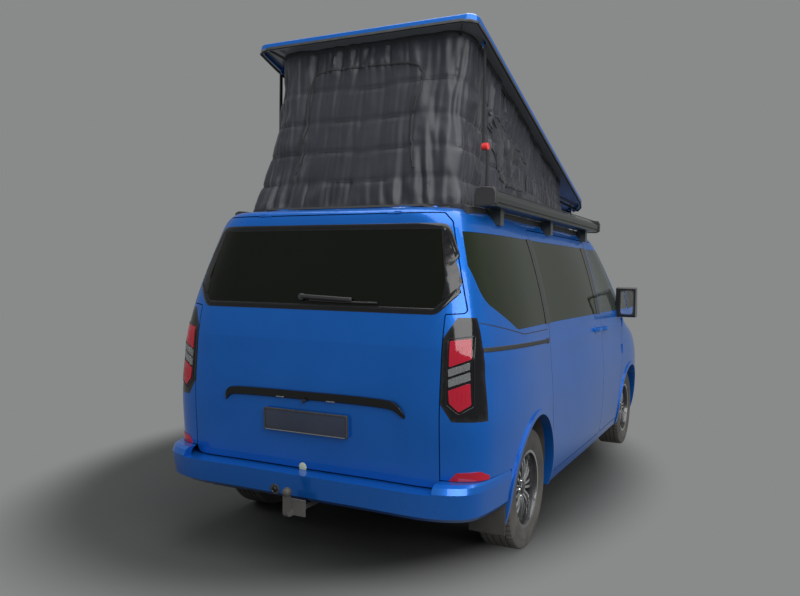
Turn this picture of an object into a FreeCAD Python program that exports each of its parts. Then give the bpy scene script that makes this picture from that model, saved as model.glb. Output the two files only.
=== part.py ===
import FreeCAD, Part
import Sketcher
import math
import os
import re

# A mid-size camper van with its pop-up roof open, nose towards -Y, its left side towards +X,
# standing on z = 0. Every piece is a closed solid of its own, named for what it is.

doc = FreeCAD.newDocument("camper_van")
sheet = doc.addObject("Spreadsheet::Sheet", "sizes")
Vec = FreeCAD.Vector

SIZES = (
    # whole body
    ("nose_reach", 2575, "origin to the front bumper's face"),
    ("tail_reach", 2415, "origin to the tailgate's outermost line"),
    ("bumper_reach", 2475, "origin to the rear bumper's face"),
    ("half_width", 1016, "centre plane to the widest line of the side"),
    ("belt_height", 1220, "floor to the line under the side windows"),
    ("roof_height", 1955, "floor to the flat middle of the roof"),
    ("wall_thick", 50, "whole thickness of a door or side wall"),
    ("roof_thick", 30, "whole thickness of the roof panel"),
    ("pillar_wide", 32, "body strip between the tailgate and a quarter window"),
    ("panel_gap", 6, "shut line between panels that part"),
    ("door_step", 14, "how far a front door's inner part is set back from its seam"),
    ("seat_gap", 0.3, "clearance where one piece seats on another"),
    ("overrun", 40, "how far a cutting form passes the wall it cuts"),
    # wheels and axles
    ("front_axle_y", 1595, "front axle ahead of the origin"),
    ("rear_axle_y", 1505, "rear axle behind the origin"),
    ("tyre_radius", 345, "tread radius"),
    ("tyre_width", 215, "tyre's section width"),
    ("tread_width", 176, "flat of the tread"),
    ("rim_radius", 216, "bead seat radius"),
    ("lip_radius", 229, "rim flange radius"),
    ("wheel_x", 865, "centre plane of a wheel"),
    ("hub_face", 22, "hub's mounting face, outboard of the wheel's centre plane"),
    ("hub_radius", 68, "wheel hub radius"),
    ("disc_radius", 152, "brake disc radius"),
    ("disc_thick", 26, "brake disc thickness"),
    ("spoke_width", 17, "width of one spoke at its middle"),
    ("spoke_pairs", 5, "pairs of spokes"),
    ("rim_dish", 38, "spoke face, inboard of the rim's outer lip"),
    ("kingpin_x", 765, "steering axis from the centre plane"),
    ("front_arch_radius", 412, "front wheel arch"),
    ("rear_arch_radius", 435, "rear wheel arch"),
    ("arch_lip", 30, "height of the flare round an arch"),
    ("arch_proud", 9, "how far the flare stands out of the side"),
    ("liner_thick", 6, "wheel liner thickness"),
    ("liner_x", 556, "inner wall of a wheel liner"),
    # doors
    ("sill_top", 330, "lower edge of the doors"),
    ("sill_bottom", 262, "lower edge of the sill"),
    ("door_head", 1868, "upper edge of the doors"),
    ("door_nose_y", 1215, "front edge of the front door"),
    ("door_peak_y", 850, "front edge of the front door at its head"),
    ("pillar_y", 400, "seam between front and sliding door"),
    ("slide_rear_y", 1140, "rear seam of the sliding door"),
    ("hinge_radius", 5.5, "door hinge knuckle radius"),
    ("hinge_tall", 40, "height of one hinge knuckle"),
    ("hinge_low", 900, "lower door hinge"),
    ("hinge_step", 240, "upper door hinge above the lower"),
    ("corner_round", 45, "rounding of a door's corners"),
    # glass
    ("glass_proud", 1.2, "glass face below the body's face"),
    ("glass_back", 7, "glass inner face below the body's face"),
    ("glass_lap", 22, "how far glass laps the frame round its opening"),
    ("window_foot", 1292, "lower edge of the side windows"),
    ("window_head", 1806, "upper edge of the side windows"),
    ("window_round", 42, "rounding of the side windows' corners"),
    # tailgate and rear
    ("gate_half", 768, "half the tailgate's width between the lamps"),
    ("gate_wide", 868, "half the tailgate's width above the lamps"),
    ("gate_foot", 530, "lower edge of the tailgate"),
    ("gate_head", 1900, "upper edge of the tailgate"),
    ("gate_cut_y", 2100, "where the tailgate's sides start"),
    ("plate_wide", 526, "flat seat of the number plate, across the van"),
    ("plate_tall", 118, "flat seat of the number plate, height"),
    ("plate_height", 785, "middle of the number plate's seat above the floor"),
    ("lamp_foot", 865, "lower end of the tail lamps"),
    ("lamp_head", 1372, "upper end of the tail lamps"),
    ("lamp_front_y", 2236, "front edge of the tail lamps on the side"),
    ("bumper_foot", 372, "lower edge of the bumpers"),
    ("bumper_top", 522, "shelf of the rear bumper"),
    ("shelf_thick", 14, "thickness of the rear bumper's shelf"),
    ("bumper_wrap_y", 1962, "front edge of the rear bumper's side"),
    # nose
    ("bonnet_rear_y", 1905, "rear edge of the bonnet"),
    ("bonnet_foot", 968, "front edge of the bonnet"),
    ("bonnet_half", 800, "half the bonnet's width"),
    ("nose_cut_y", 2010, "rear edge of the front bumper's sides"),
    ("nose_bumper_top", 640, "upper edge of the front bumper"),
    # roof
    ("hatch_half", 540, "half the width of the roof opening"),
    ("hatch_front_y", 430, "front edge of the roof opening, ahead of the origin"),
    ("hatch_rear_y", 1560, "rear edge of the roof opening"),
    ("roof_seam_half", 735, "half the roof panel's width"),
    ("roof_seam_height", 1862, "lower edge of the roof panel's ends"),
    # pop-up roof, its arms and stays
    ("shell_length", 2880, "pop-up roof from tip to rear edge"),
    ("shell_half", 736, "half the pop-up roof's width"),
    ("shell_tall", 98, "pop-up roof's height at its crown"),
    ("shell_edge", 46, "height of the pop-up roof's edge"),
    ("shell_crown", 150, "width of the slope from the edge to the crown"),
    ("shell_nose_round", 260, "rounding of the pop-up roof's front corners"),
    ("shell_tail_round", 62, "rounding of the pop-up roof's rear corners"),
    ("shell_rim", 24, "width of the pop-up roof's rim"),
    ("shell_hollow", 22, "depth of the hollow inside the rim"),
    ("shell_tilt", 17.1, "angle of the open pop-up roof"),
    ("arm_foot_y", 916, "arm's lower pin ahead of the origin"),
    ("arm_foot_z", 1960, "arm's lower pin above the floor"),
    ("arm_length", 256, "arm between its pins"),
    ("arm_angle", 52.87, "arm's angle when the roof is open"),
    ("arm_travel", 46.37, "arm's turn when the roof shuts"),
    ("arm_tip_gap", 120, "arm's upper pin behind the shell's tip"),
    ("arm_rise", 4, "arm's upper pin above the shell's lower edge"),
    ("arm_x", 610, "arm from the centre plane"),
    ("arm_thick", 8, "thickness of the arms and stays"),
    ("arm_deep", 24, "depth of the arms and stays"),
    ("pin_radius", 5, "radius of the pins"),
    ("stay_y", 1655, "stay's pins behind the origin"),
    ("stay_foot_z", 1957, "stay's lower pin above the floor"),
    ("stay_lower", 361.2, "lower stay link between its pins"),
    ("stay_drop", 18, "stay's upper pin under the shell's edge"),
    ("stay_x", 726, "lower stay link from the centre plane"),
    ("stay_step", 24, "upper stay link inboard of the lower"),
    # tent
    ("tent_front_y", 560, "front foot of the tent, ahead of the origin"),
    ("tent_rear_y", 1975, "rear foot of the tent"),
    ("tent_half", 700, "half the tent's width at its foot"),
    ("tent_top_half", 655, "half the tent's width at its top"),
    ("tent_waist", 26, "how far the cloth draws in between foot and top"),
    ("tent_waist_round", 210, "rounding of the tent's corners at its waist"),
    ("tent_top_front", 565, "tent's top front edge behind the shell's tip"),
    ("tent_top_rear", 2775, "tent's top rear edge behind the shell's tip"),
    ("tent_thick", 9, "thickness of the tent wall with its padding"),
    ("tent_round", 70, "rounding of the tent's corners"),
    # awning and roof rails
    ("awning_rear_y", 1985, "rear end of the awning case"),
    ("awning_length", 2600, "length of the awning case"),
    ("awning_x", 785, "inner face of the awning case"),
    ("awning_wide", 118, "width of the awning case"),
    ("awning_foot", 1948, "underside of the awning case"),
    ("awning_tall", 102, "height of the awning case"),
    ("awning_cap", 34, "length of an end cap"),
    ("rail_wide", 26, "width of a roof rail"),
    ("rail_tall", 22, "height of a roof rail"),
    # floor and running gear
    ("floor_top", 520, "top of the floor"),
    ("floor_thick", 40, "thickness of the floor"),
    ("rail_x", 430, "chassis rail from the centre plane"),
    ("chassis_wide", 70, "width of a chassis rail"),
    ("chassis_tall", 80, "height of a chassis rail"),
    ("bulkhead_y", 1590, "bulkhead ahead of the origin"),
    ("bulkhead_thick", 30, "thickness of the bulkhead"),
    ("engine_long", 560, "engine block along the van"),
    ("engine_tall", 520, "engine block's height"),
    ("axle_radius", 36, "rear axle beam's radius"),
    ("strut_radius", 27, "front strut's radius"),
    ("ball_radius", 25, "tow ball's radius"),
    ("ball_reach", 2550, "tow ball's centre behind the origin"),
    ("ball_height", 450, "tow ball's centre above the floor"),
    ("pipe_radius", 27, "exhaust pipe's radius"),
    # mirrors
    ("mirror_reach", 1137, "outer face of a mirror"),
    ("mirror_wide", 168, "mirror head across the van"),
    ("mirror_tall", 262, "mirror head's height"),
    ("mirror_deep", 110, "mirror head along the van"),
    ("mirror_foot", 1232, "underside of the mirror head"),
    ("mirror_y", 1085, "mirror head's centre ahead of the origin"),
    # furniture
    ("seat_wide", 500, "seat's width"),
    ("seat_long", 500, "seat cushion's length"),
    ("seat_top", 860, "top of the seat cushion"),
    ("seat_x", 390, "front seat's centre"),
    ("seat_y", 640, "front seat's rear, ahead of the origin"),
    ("back_tall", 640, "height of a seat's back above its cushion"),
    ("cushion_thick", 130, "thickness of cushions"),
    ("kitchen_deep", 420, "kitchen unit across the van"),
    ("kitchen_top", 1190, "kitchen unit's worktop"),
)

for row, (alias, value, note) in enumerate(SIZES, start=1):
    sheet.set("A%d" % row, alias)
    sheet.set("B%d" % row, str(value))
    sheet.setAlias("B%d" % row, alias)
    sheet.set("C%d" % row, note)
doc.recompute()

ALIASES = {alias for alias, value, note in SIZES}
v = sheet
parts = []


def cell(text):
    """An expression in which each size's name reads its cell."""
    return re.sub(r"[a-z_]+", lambda word: "sizes." + word[0] if word[0] in ALIASES else word[0], text)


def keep(thing, label):
    """Give a finished sub-part the label that names its file."""
    thing.Label = label
    parts.append(thing)
    return thing


def shape_part(label, shape, placement=None):
    """A sub-part whose form is set directly from the sheet's sizes."""
    feature = doc.addObject("Part::Feature", label)
    feature.Shape = shape
    feature.Placement = placement or FreeCAD.Placement()
    return keep(feature, label)


def bind(thing, **sizes):
    for name, text in sizes.items():
        thing.setExpression(name.replace("_at_", "Placement.Base."), cell(text))
    return thing


def box(name, long_x, long_y, long_z, at_x, at_y, at_z):
    """A box whose sides and low corner follow the sheet."""
    thing = doc.addObject("Part::Box", name)
    bind(thing, Length=long_x, Width=long_y, Height=long_z, _at_x=at_x, _at_y=at_y, _at_z=at_z)
    return thing


def mirrored(name, source):
    """The same piece on the other side of the van."""
    thing = doc.addObject("Part::Mirroring", name)
    thing.Source = source
    thing.Base = Vec()
    thing.Normal = Vec(1, 0, 0)
    return thing


# Outlines and the body's outer form

def rounded(corners, place):
    """A closed wire through corners (a, b, radius), each corner a tangent arc."""
    ends = []
    for index, (a, b, radius) in enumerate(corners):
        here = Vec(a, b)
        back = (Vec(*corners[index - 1][:2]) - here).normalize()
        ahead = (Vec(*corners[(index + 1) % len(corners)][:2]) - here).normalize()
        half = back.getAngle(ahead) / 2
        middle = (back + ahead).normalize()
        reach = radius / math.tan(half)
        ends.append((here + back * reach, here + middle * (radius / math.sin(half) - radius),
                     here + ahead * reach))
    edges = []
    for index, (start, middle, finish) in enumerate(ends):
        onward = ends[(index + 1) % len(ends)][0]
        edges.append(Part.Arc(place(start), place(middle), place(finish)).toShape())
        edges.append(Part.makeLine(place(finish), place(onward)))
    return Part.Wire(edges)


def grown(corners, by):
    """The same corners moved outwards by a distance, for clearances and laps."""
    area = sum(p[0] * q[1] - q[0] * p[1] for p, q in zip(corners, corners[1:] + corners[:1]))
    side = 1 if area > 0 else -1
    moved = []
    for index, (a, b, radius) in enumerate(corners):
        here = Vec(a, b)
        before = (here - Vec(*corners[index - 1][:2])).normalize()
        after = (Vec(*corners[(index + 1) % len(corners)][:2]) - here).normalize()
        out_before = Vec(before.y, -before.x) * side
        out_after = Vec(after.y, -after.x) * side
        shift = (out_before + out_after) * (by / (1 + out_before.dot(out_after)))
        turn = before.cross(after).z * side
        moved.append((a + shift.x, b + shift.y, max(radius + (by if turn > 0 else -by), 1)))
    return moved


def prism(corners, axis, low, high):
    """An outline carried along one axis."""
    def place(at):
        return {"x": lambda p: Vec(at, p.x, p.y), "y": lambda p: Vec(p.x, at, p.y),
                "z": lambda p: Vec(p.x, p.y, at)}[axis]
    along = {"x": Vec(1, 0, 0), "y": Vec(0, 1, 0), "z": Vec(0, 0, 1)}[axis]
    return Part.Face(rounded(corners, place(low))).extrude(along * (high - low))


def loop(z, half, front, rear, squareness):
    """One level line of a body: a squared oval, sharper at its rear than at its nose."""
    (side_power, nose_power), (flank_power,
                               tail_power), front_shares, rear_shares, cross_shares = squareness

    def quarter(reach, power, end_power, shares, cross):
        points = [(half * (1 - share ** end_power) ** (1 / power), reach * share) for share in shares]
        return points + [(half * share, reach * (1 - share ** power) ** (1 / end_power)) for share in cross]
    nose = quarter(front, side_power, nose_power, front_shares, cross_shares[0])
    tail = quarter(rear, flank_power, tail_power, rear_shares, cross_shares[1])
    points = [Vec(0, -front, z)]
    points += [Vec(x, -y, z) for x, y in reversed(nose)]
    points += [Vec(half, 0, z)]
    points += [Vec(x, y, z) for x, y in tail]
    points += [Vec(0, rear, z)]
    points += [Vec(-x, y, z) for x, y in reversed(tail)]
    points += [Vec(-half, 0, z)]
    points += [Vec(-x, -y, z) for x, y in nose]
    curve = Part.BSplineCurve()
    curve.interpolate(Points=points, PeriodicFlag=True)
    return Part.Wire([curve.toShape()])


# Level lines of the body: height, half width, nose and tail, as shares of the driving sizes.
LOWER_SHARES = (
    (.205, .940, .978, .962), (.33, .975, .996, .975), (.492, .988, 1.0, .979), (.70, .991, .988, .986),
    (.80, .982, .955, .986), (.90, .972, .845, .983), (1.0, .960, .715, .980))
UPPER_SHARES = (
    (0, .960, .715, .980), (.25, .932, .622, .966), (.55, .876, .513, .943), (.80, .818, .420, .923),
    (.92, .775, .368, .911), (.973, .715, .303, .890), (1.0, .60, .175, .850))
BODY_SQUARENESS = ((3.2, 11), (8, 24), (.5, .8, .93), (.5, .90, .965), ((.5, .22), (.85, .5)))


def lower_form(inset):
    """The outer form from the sill to the belt line, drawn in by a distance all round."""
    levels = [loop(z * v.belt_height, w * v.half_width - inset, f * v.nose_reach - inset,
                   r * v.tail_reach - inset,
                   BODY_SQUARENESS) for z, w, f, r in LOWER_SHARES]
    return Part.makeLoft(levels, True, False)


def upper_form(inset, roof_inset=None):
    """The outer form from the belt line to the roof, drawn in by a distance all round."""
    tall = v.roof_height - v.belt_height - (inset if roof_inset is None else roof_inset)
    levels = [loop(v.belt_height + z * tall, w * v.half_width - inset, f * v.nose_reach - inset,
                   r * v.tail_reach - inset,
                   BODY_SQUARENESS) for z, w, f, r in UPPER_SHARES]
    return Part.makeLoft(levels, True, False)


def block(low, high):
    """A plain block between two corners, for cutting."""
    low, high = Vec(*low), Vec(*high)
    return Part.makeBox(high.x - low.x, high.y - low.y, high.z - low.z, low)


FAR = v.half_width + v.mirror_reach
outer = lower_form(0).fuse(upper_form(0))
inner = lower_form(v.wall_thick).fuse(upper_form(v.wall_thick, v.roof_thick))
shell = outer.cut(inner)
lining = lower_form(v.wall_thick + v.seat_gap)
glass_core = upper_form(v.glass_back)
glass_layer = upper_form(v.glass_proud).cut(glass_core)
above_body = upper_form(-v.seat_gap)
side_from = v.half_width / 2
side_to = v.half_width + v.overrun


def pane_in(corners, axis, low, high):
    """A flush pane for a window hole."""
    return glass_layer.common(prism(grown(corners, -v.seat_gap), axis, low, high))


def side(corners, reach=0):
    """A form through the left-hand wall, drawn with (y, z) corners."""
    return prism(grown(corners, reach) if reach else corners, "x", side_from, side_to)


def flip(shape):
    """The same form on the other side."""
    return shape.mirror(Vec(), Vec(1, 0, 0))


# Door, window and lamp outlines as (y, z, radius) or (x, z, radius)

door_toe_y = v.front_axle_y - v.front_arch_radius - v.arch_lip - v.door_step * 2
front_door_corners = [
    (-door_toe_y, v.sill_top, v.corner_round), (-v.pillar_y, v.sill_top, v.corner_round),
    (-v.pillar_y, v.door_head, v.corner_round), (-v.door_peak_y, v.door_head, v.corner_round * 2),
    (-v.door_nose_y, v.window_foot, v.corner_round * 2),
    (-v.door_nose_y, v.tyre_radius + v.front_arch_radius * 1.18, v.corner_round * 2),
    (-door_toe_y, v.tyre_radius + v.front_arch_radius * .7, v.corner_round * 2)]
slide_corners = [
    (-v.pillar_y + v.panel_gap, v.sill_top, v.corner_round),
    (v.rear_axle_y - v.rear_arch_radius - v.arch_lip * 2, v.sill_top, v.corner_round),
    (v.slide_rear_y, v.tyre_radius + v.rear_arch_radius, v.corner_round * 3),
    (v.slide_rear_y, v.door_head, v.corner_round), (-v.pillar_y + v.panel_gap, v.door_head, v.corner_round)]
frame_margin = v.corner_round + v.glass_lap / 2
front_window_corners = [
    (-v.door_nose_y + frame_margin, v.window_foot, v.window_round),
    (-v.pillar_y - v.glass_lap, v.window_foot, v.window_round / 2),
    (-v.pillar_y - v.glass_lap, v.window_head, v.window_round / 2),
    (-v.door_peak_y + frame_margin, v.window_head, v.window_round)]
corner_window_corners = [
    (-v.door_nose_y - v.glass_lap * 2, v.window_foot, v.window_round / 2),
    (-v.door_nose_y - v.glass_lap * 2, v.window_foot + v.mirror_wide * 1.2, v.window_round / 3),
    (-v.door_nose_y - v.mirror_wide * 1.25, v.window_foot, v.window_round / 3)]
middle_window_corners = [
    (-v.pillar_y + v.glass_lap * 3, v.window_foot, v.window_round / 2),
    (v.slide_rear_y - v.glass_lap, v.window_foot, v.window_round / 2),
    (v.slide_rear_y - v.glass_lap, v.window_head, v.window_round / 2),
    (-v.pillar_y + v.glass_lap * 3, v.window_head, v.window_round / 2)]
quarter_rear_y = v.tail_reach - v.wall_thick * 4
quarter_window_corners = [
    (v.slide_rear_y + v.glass_lap, v.window_foot, v.window_round / 2),
    (quarter_rear_y - v.wall_thick * 8, v.window_foot, v.window_round * 2),
    (quarter_rear_y - v.wall_thick, v.window_foot + v.wall_thick * 3.2, v.window_round * 3),
    (quarter_rear_y, v.window_head, v.window_round * 1.6),
    (v.slide_rear_y + v.glass_lap, v.window_head, v.window_round / 2)]


def both(half):
    """Corners given for the left half, carried round to the right half."""
    return half + [(-a, b, radius) for a, b, radius in reversed(half)]


gate_corners = both([
    (v.gate_half, v.gate_foot, v.corner_round), (v.gate_half, v.lamp_head + v.panel_gap * 3,
                                                 v.corner_round / 4),
    (v.gate_wide, v.lamp_head + v.panel_gap * 4, v.corner_round / 3),
    (v.roof_seam_half, v.gate_head - v.corner_round, v.corner_round * .8),
    (v.roof_seam_half - v.corner_round, v.gate_head, v.corner_round / 2)])
gate_glass_foot = v.lamp_head + v.wall_thick * 1.2
gate_glass_head = v.gate_head - v.wall_thick * 1.6
gate_window_corners = both([
    (v.gate_half - v.wall_thick, gate_glass_foot - v.wall_thick * .5, v.corner_round),
    (v.gate_wide - v.glass_lap * 1.6, gate_glass_foot + v.wall_thick * 2, v.corner_round),
    (v.roof_seam_half - v.glass_lap, gate_glass_head, v.corner_round)])
lamp_chamfer = v.half_width * .055
lamp_outer = v.half_width * .99
lamp_corners = [
    (v.gate_half + v.panel_gap, v.lamp_foot + lamp_chamfer * 1.5, v.panel_gap * 2),
    (v.gate_half + v.panel_gap + lamp_chamfer, v.lamp_foot, v.panel_gap * 2),
    (lamp_outer, v.lamp_foot, v.panel_gap * 2), (lamp_outer, v.lamp_head, v.panel_gap * 2),
    (v.gate_half + v.panel_gap + lamp_chamfer, v.lamp_head, v.panel_gap * 2),
    (v.gate_half + v.panel_gap, v.lamp_head - lamp_chamfer * 1.8, v.panel_gap * 2)]
screen_foot = v.belt_height + v.wall_thick * .4
screen_corners = both([
    (v.half_width * .80, screen_foot, v.corner_round * 1.5),
    (v.half_width * .635, v.roof_seam_height - v.panel_gap * 2, v.corner_round * 1.5)])
bonnet_corners = both([
    (v.bonnet_half, -v.nose_reach - v.overrun, v.corner_round),
    (v.bonnet_half * 1.02, -v.bonnet_rear_y - v.wall_thick * 2, v.corner_round * 2),
    (v.bonnet_half * .82, -v.bonnet_rear_y, v.corner_round)])
bonnet_top = v.belt_height + v.wall_thick


# Tailgate

gate_form = prism(gate_corners, "y", v.gate_cut_y, v.tail_reach + v.overrun)
gate_hole = prism(grown(gate_corners, v.panel_gap), "y", v.gate_cut_y - v.panel_gap,
                  v.tail_reach + v.overrun)
gate_shape = shell.common(gate_form).cut(prism(gate_window_corners, "y", v.gate_cut_y,
                                               v.tail_reach + v.overrun))
gate_pane = pane_in(gate_window_corners, "y", v.gate_cut_y, v.tail_reach + v.overrun)


def rear_face_y(z):
    """The tailgate's face on the centre plane at a height."""
    spot = outer.common(Part.makeLine(Vec(0, 0, z), Vec(0, v.tail_reach * 2, z)))
    return spot.BoundBox.YMax


gate_axis_z = v.gate_head + v.panel_gap / 2
gate_axis_y = rear_face_y(gate_axis_z)
knuckle_half = v.hatch_half * .7


def cross_knuckles(axis_y, axis_z, radius, start, leaf_y=0, leaf_z=0):
    """Two short knuckles along X, one left and one right, each with a leaf towards what carries it."""
    left = Part.makeCylinder(radius, v.hinge_tall, Vec(start, axis_y, axis_z), Vec(1, 0, 0))
    if leaf_y:
        ys, zs = sorted((axis_y, axis_y + leaf_y)), sorted((axis_z, axis_z + leaf_z))
        left = left.fuse(block((start, ys[0], zs[0]), (start + v.hinge_tall, ys[1], zs[1])))
    return left.fuse(flip(left))


host_start = knuckle_half + v.hinge_tall + v.seat_gap
hinge_room = v.hinge_radius + v.panel_gap / 2
gate_own = cross_knuckles(gate_axis_y, gate_axis_z, v.hinge_radius, knuckle_half, -v.hinge_radius * 2,
                          -v.hinge_radius * 4)
gate_host = cross_knuckles(gate_axis_y, gate_axis_z, v.hinge_radius, host_start, -v.hinge_radius * 5,
                           v.hinge_radius * 2)
gate_own_room = cross_knuckles(gate_axis_y, gate_axis_z, hinge_room, knuckle_half)
gate_host_room = cross_knuckles(gate_axis_y, gate_axis_z, hinge_room, host_start)
plate_face_y = rear_face_y(v.plate_height) + v.panel_gap
plate_seat = block((-v.plate_wide / 2, plate_face_y - v.wall_thick / 2, v.plate_height - v.plate_tall / 2),
                   (v.plate_wide / 2, plate_face_y, v.plate_height + v.plate_tall / 2))
gate_shape = gate_shape.cut(gate_host_room).fuse([gate_own, plate_seat])
shape_part("tailgate", gate_shape)
shape_part("tailgate_glass", gate_pane)

# Bonnet

bonnet_form = prism(bonnet_corners, "z", v.bonnet_foot, bonnet_top)
bonnet_hole = prism(grown(bonnet_corners, v.panel_gap), "z", v.bonnet_foot - v.panel_gap, bonnet_top)
bonnet_shape = shell.common(bonnet_form)


def top_face_z(y):
    """The body's upper face on the centre plane at a station."""
    spot = outer.common(Part.makeLine(Vec(0, y, 0), Vec(0, y, v.roof_height * 2)))
    return spot.BoundBox.ZMax


bonnet_axis_y = -v.bonnet_rear_y + v.panel_gap / 2
bonnet_axis_z = top_face_z(bonnet_axis_y)
bonnet_own = cross_knuckles(bonnet_axis_y, bonnet_axis_z, v.hinge_radius, knuckle_half,
                            -v.hinge_radius * 5, -v.hinge_radius * 4)
bonnet_host = cross_knuckles(bonnet_axis_y, bonnet_axis_z, v.hinge_radius, host_start, v.hinge_radius * 5,
                             -v.hinge_radius * 4)
bonnet_own_room = cross_knuckles(bonnet_axis_y, bonnet_axis_z, hinge_room, knuckle_half)
bonnet_host_room = cross_knuckles(bonnet_axis_y, bonnet_axis_z, hinge_room, host_start)
bonnet_shape = bonnet_shape.cut(bonnet_host_room).fuse(bonnet_own)
shape_part("bonnet", bonnet_shape)

# Front doors, hinged at their front edge on an axis that leans in with the side

door_form = side(front_door_corners)
door_hole = side(front_door_corners, v.panel_gap)
door_step = door_form.cut(side(front_door_corners,
                               -v.door_step)).common(lower_form(v.glass_back).fuse(glass_core))
door_shape = shell.common(door_form).cut([door_step, side(front_window_corners)])
door_pane = pane_in(front_window_corners, "x", side_from, side_to)


def side_face_x(z):
    """The side's face at the front door's hinge line at a height."""
    line = Part.makeLine(Vec(0, -v.door_nose_y, z), Vec(v.half_width * 2, -v.door_nose_y, z))
    return outer.common(line).BoundBox.XMax


hinge_foot = Vec(side_face_x(v.hinge_low) + v.seat_gap, -v.door_nose_y - v.panel_gap / 2, v.hinge_low)
hinge_head = Vec(side_face_x(v.hinge_low + v.hinge_step) + v.seat_gap, hinge_foot.y,
                 v.hinge_low + v.hinge_step)
hinge_axis = (hinge_head - hinge_foot).normalize()


def upright_knuckles(radius, shift, longer=0, leaf=0):
    """Two knuckles on the front door's hinge axis, each with a leaf towards what carries it."""
    pair = []
    for foot in (hinge_foot, hinge_head):
        start = foot + hinge_axis * (shift - longer)
        tall = v.hinge_tall + longer * 2
        pair.append(Part.makeCylinder(radius, tall, start, hinge_axis))
        if leaf:
            ys = sorted((start.y, start.y + leaf))
            pair.append(block((start.x - v.wall_thick / 2, ys[0], start.z + v.panel_gap / 2),
                              (start.x - v.panel_gap / 2, ys[1], start.z + v.hinge_tall - v.panel_gap / 2)))
    return pair[0].fuse(pair[1:])


host_shift = v.hinge_tall + v.seat_gap
door_own = upright_knuckles(v.hinge_radius, 0, 0, v.hinge_radius * 5)
door_host = upright_knuckles(v.hinge_radius, host_shift, 0, -v.hinge_radius * 5)
door_own_room = upright_knuckles(hinge_room, 0, v.seat_gap / 2)
door_host_room = upright_knuckles(hinge_room, host_shift, v.seat_gap / 2)
door_shape = door_shape.cut(door_host_room).fuse(door_own)
door_left = shape_part("front_door_left", door_shape)
keep(mirrored("front_door_right", door_left), "front_door_right")
pane_left = shape_part("front_door_glass_left", door_pane)
keep(mirrored("front_door_glass_right", pane_left), "front_door_glass_right")

# Mirrors on the front doors: a squared head on a short foot

mirror_head = prism([
    (-v.mirror_y - v.mirror_deep / 2, v.mirror_foot, v.mirror_deep / 4),
    (-v.mirror_y + v.mirror_deep / 2, v.mirror_foot, v.mirror_deep / 6),
    (-v.mirror_y + v.mirror_deep / 2, v.mirror_foot + v.mirror_tall, v.mirror_deep / 6),
    (-v.mirror_y - v.mirror_deep / 4, v.mirror_foot + v.mirror_tall, v.mirror_deep / 4)],
    "x", v.mirror_reach - v.mirror_wide, v.mirror_reach)
mirror_foot_bar = prism([
    (-v.mirror_y - v.mirror_deep / 3, v.mirror_foot + v.mirror_tall * .06, v.mirror_deep / 8),
    (-v.mirror_y + v.mirror_deep / 4, v.mirror_foot + v.mirror_tall * .06, v.mirror_deep / 8),
    (-v.mirror_y + v.mirror_deep / 4, v.mirror_foot + v.mirror_tall * .24, v.mirror_deep / 8),
    (-v.mirror_y - v.mirror_deep / 3, v.mirror_foot + v.mirror_tall * .24, v.mirror_deep / 8)],
    "x", v.half_width * .8, v.mirror_reach - v.mirror_wide / 2)
mirror_left = shape_part("mirror_left", mirror_head.fuse(mirror_foot_bar).cut(above_body))
keep(mirrored("mirror_right", mirror_left), "mirror_right")

# Sliding door in the right-hand side, and the panes fixed in the body

slide_hole = flip(side(slide_corners, v.panel_gap))
slide_shape = shell.common(flip(side(slide_corners))).cut(flip(side(middle_window_corners)))
slide_pane = flip(pane_in(middle_window_corners, "x", side_from, side_to))

# The body shell left when everything that parts from it is cut away


def wheel_room(radius, station, x_from=None):
    """The round space of one left-hand wheel arch."""
    x_from = v.liner_x if x_from is None else x_from
    return Part.makeCylinder(radius, side_to - x_from, Vec(x_from, station, v.tyre_radius), Vec(1, 0, 0))


ARCHES = ((v.front_arch_radius, -v.front_axle_y), (v.rear_arch_radius, v.rear_axle_y))
arch_rooms = [wheel_room(radius, station) for radius, station in ARCHES]
arch_rooms += [flip(room) for room in arch_rooms]
flare_skin = lower_form(-v.arch_proud).cut(lower_form(v.glass_back))


def flare(radius, station):
    """A raised lip round a wheel arch, following the side's curve."""
    ring = wheel_room(radius + v.arch_lip, station, side_from).cut(wheel_room(radius, station, side_from))
    return flare_skin.common(ring).cut(under_box)


nose_box = block((-FAR, -v.nose_reach - v.overrun, 0), (FAR, -v.nose_cut_y, v.nose_bumper_top))
tail_box = block((-FAR, v.bumper_wrap_y, 0), (FAR, v.tail_reach + v.overrun, v.bumper_top + v.wall_thick))
under_box = block((-FAR, -v.nose_reach - v.overrun, 0), (FAR, v.tail_reach + v.overrun, v.sill_bottom))
roof_form = block((-v.roof_seam_half, -v.front_axle_y, v.roof_seam_height),
                  (v.roof_seam_half, v.tail_reach, v.roof_height + v.overrun))
hatch = prism(both([(v.hatch_half, -v.hatch_front_y, v.corner_round),
                    (v.hatch_half, v.hatch_rear_y, v.corner_round)]),
              "z", v.roof_height - v.wall_thick * 3, v.roof_height + v.overrun)
lamp_hole = prism(grown(lamp_corners, v.seat_gap), "y", v.lamp_front_y - v.seat_gap,
                  v.tail_reach + v.overrun)
lamp_form = prism(lamp_corners, "y", v.lamp_front_y, v.tail_reach + v.overrun)

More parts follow.
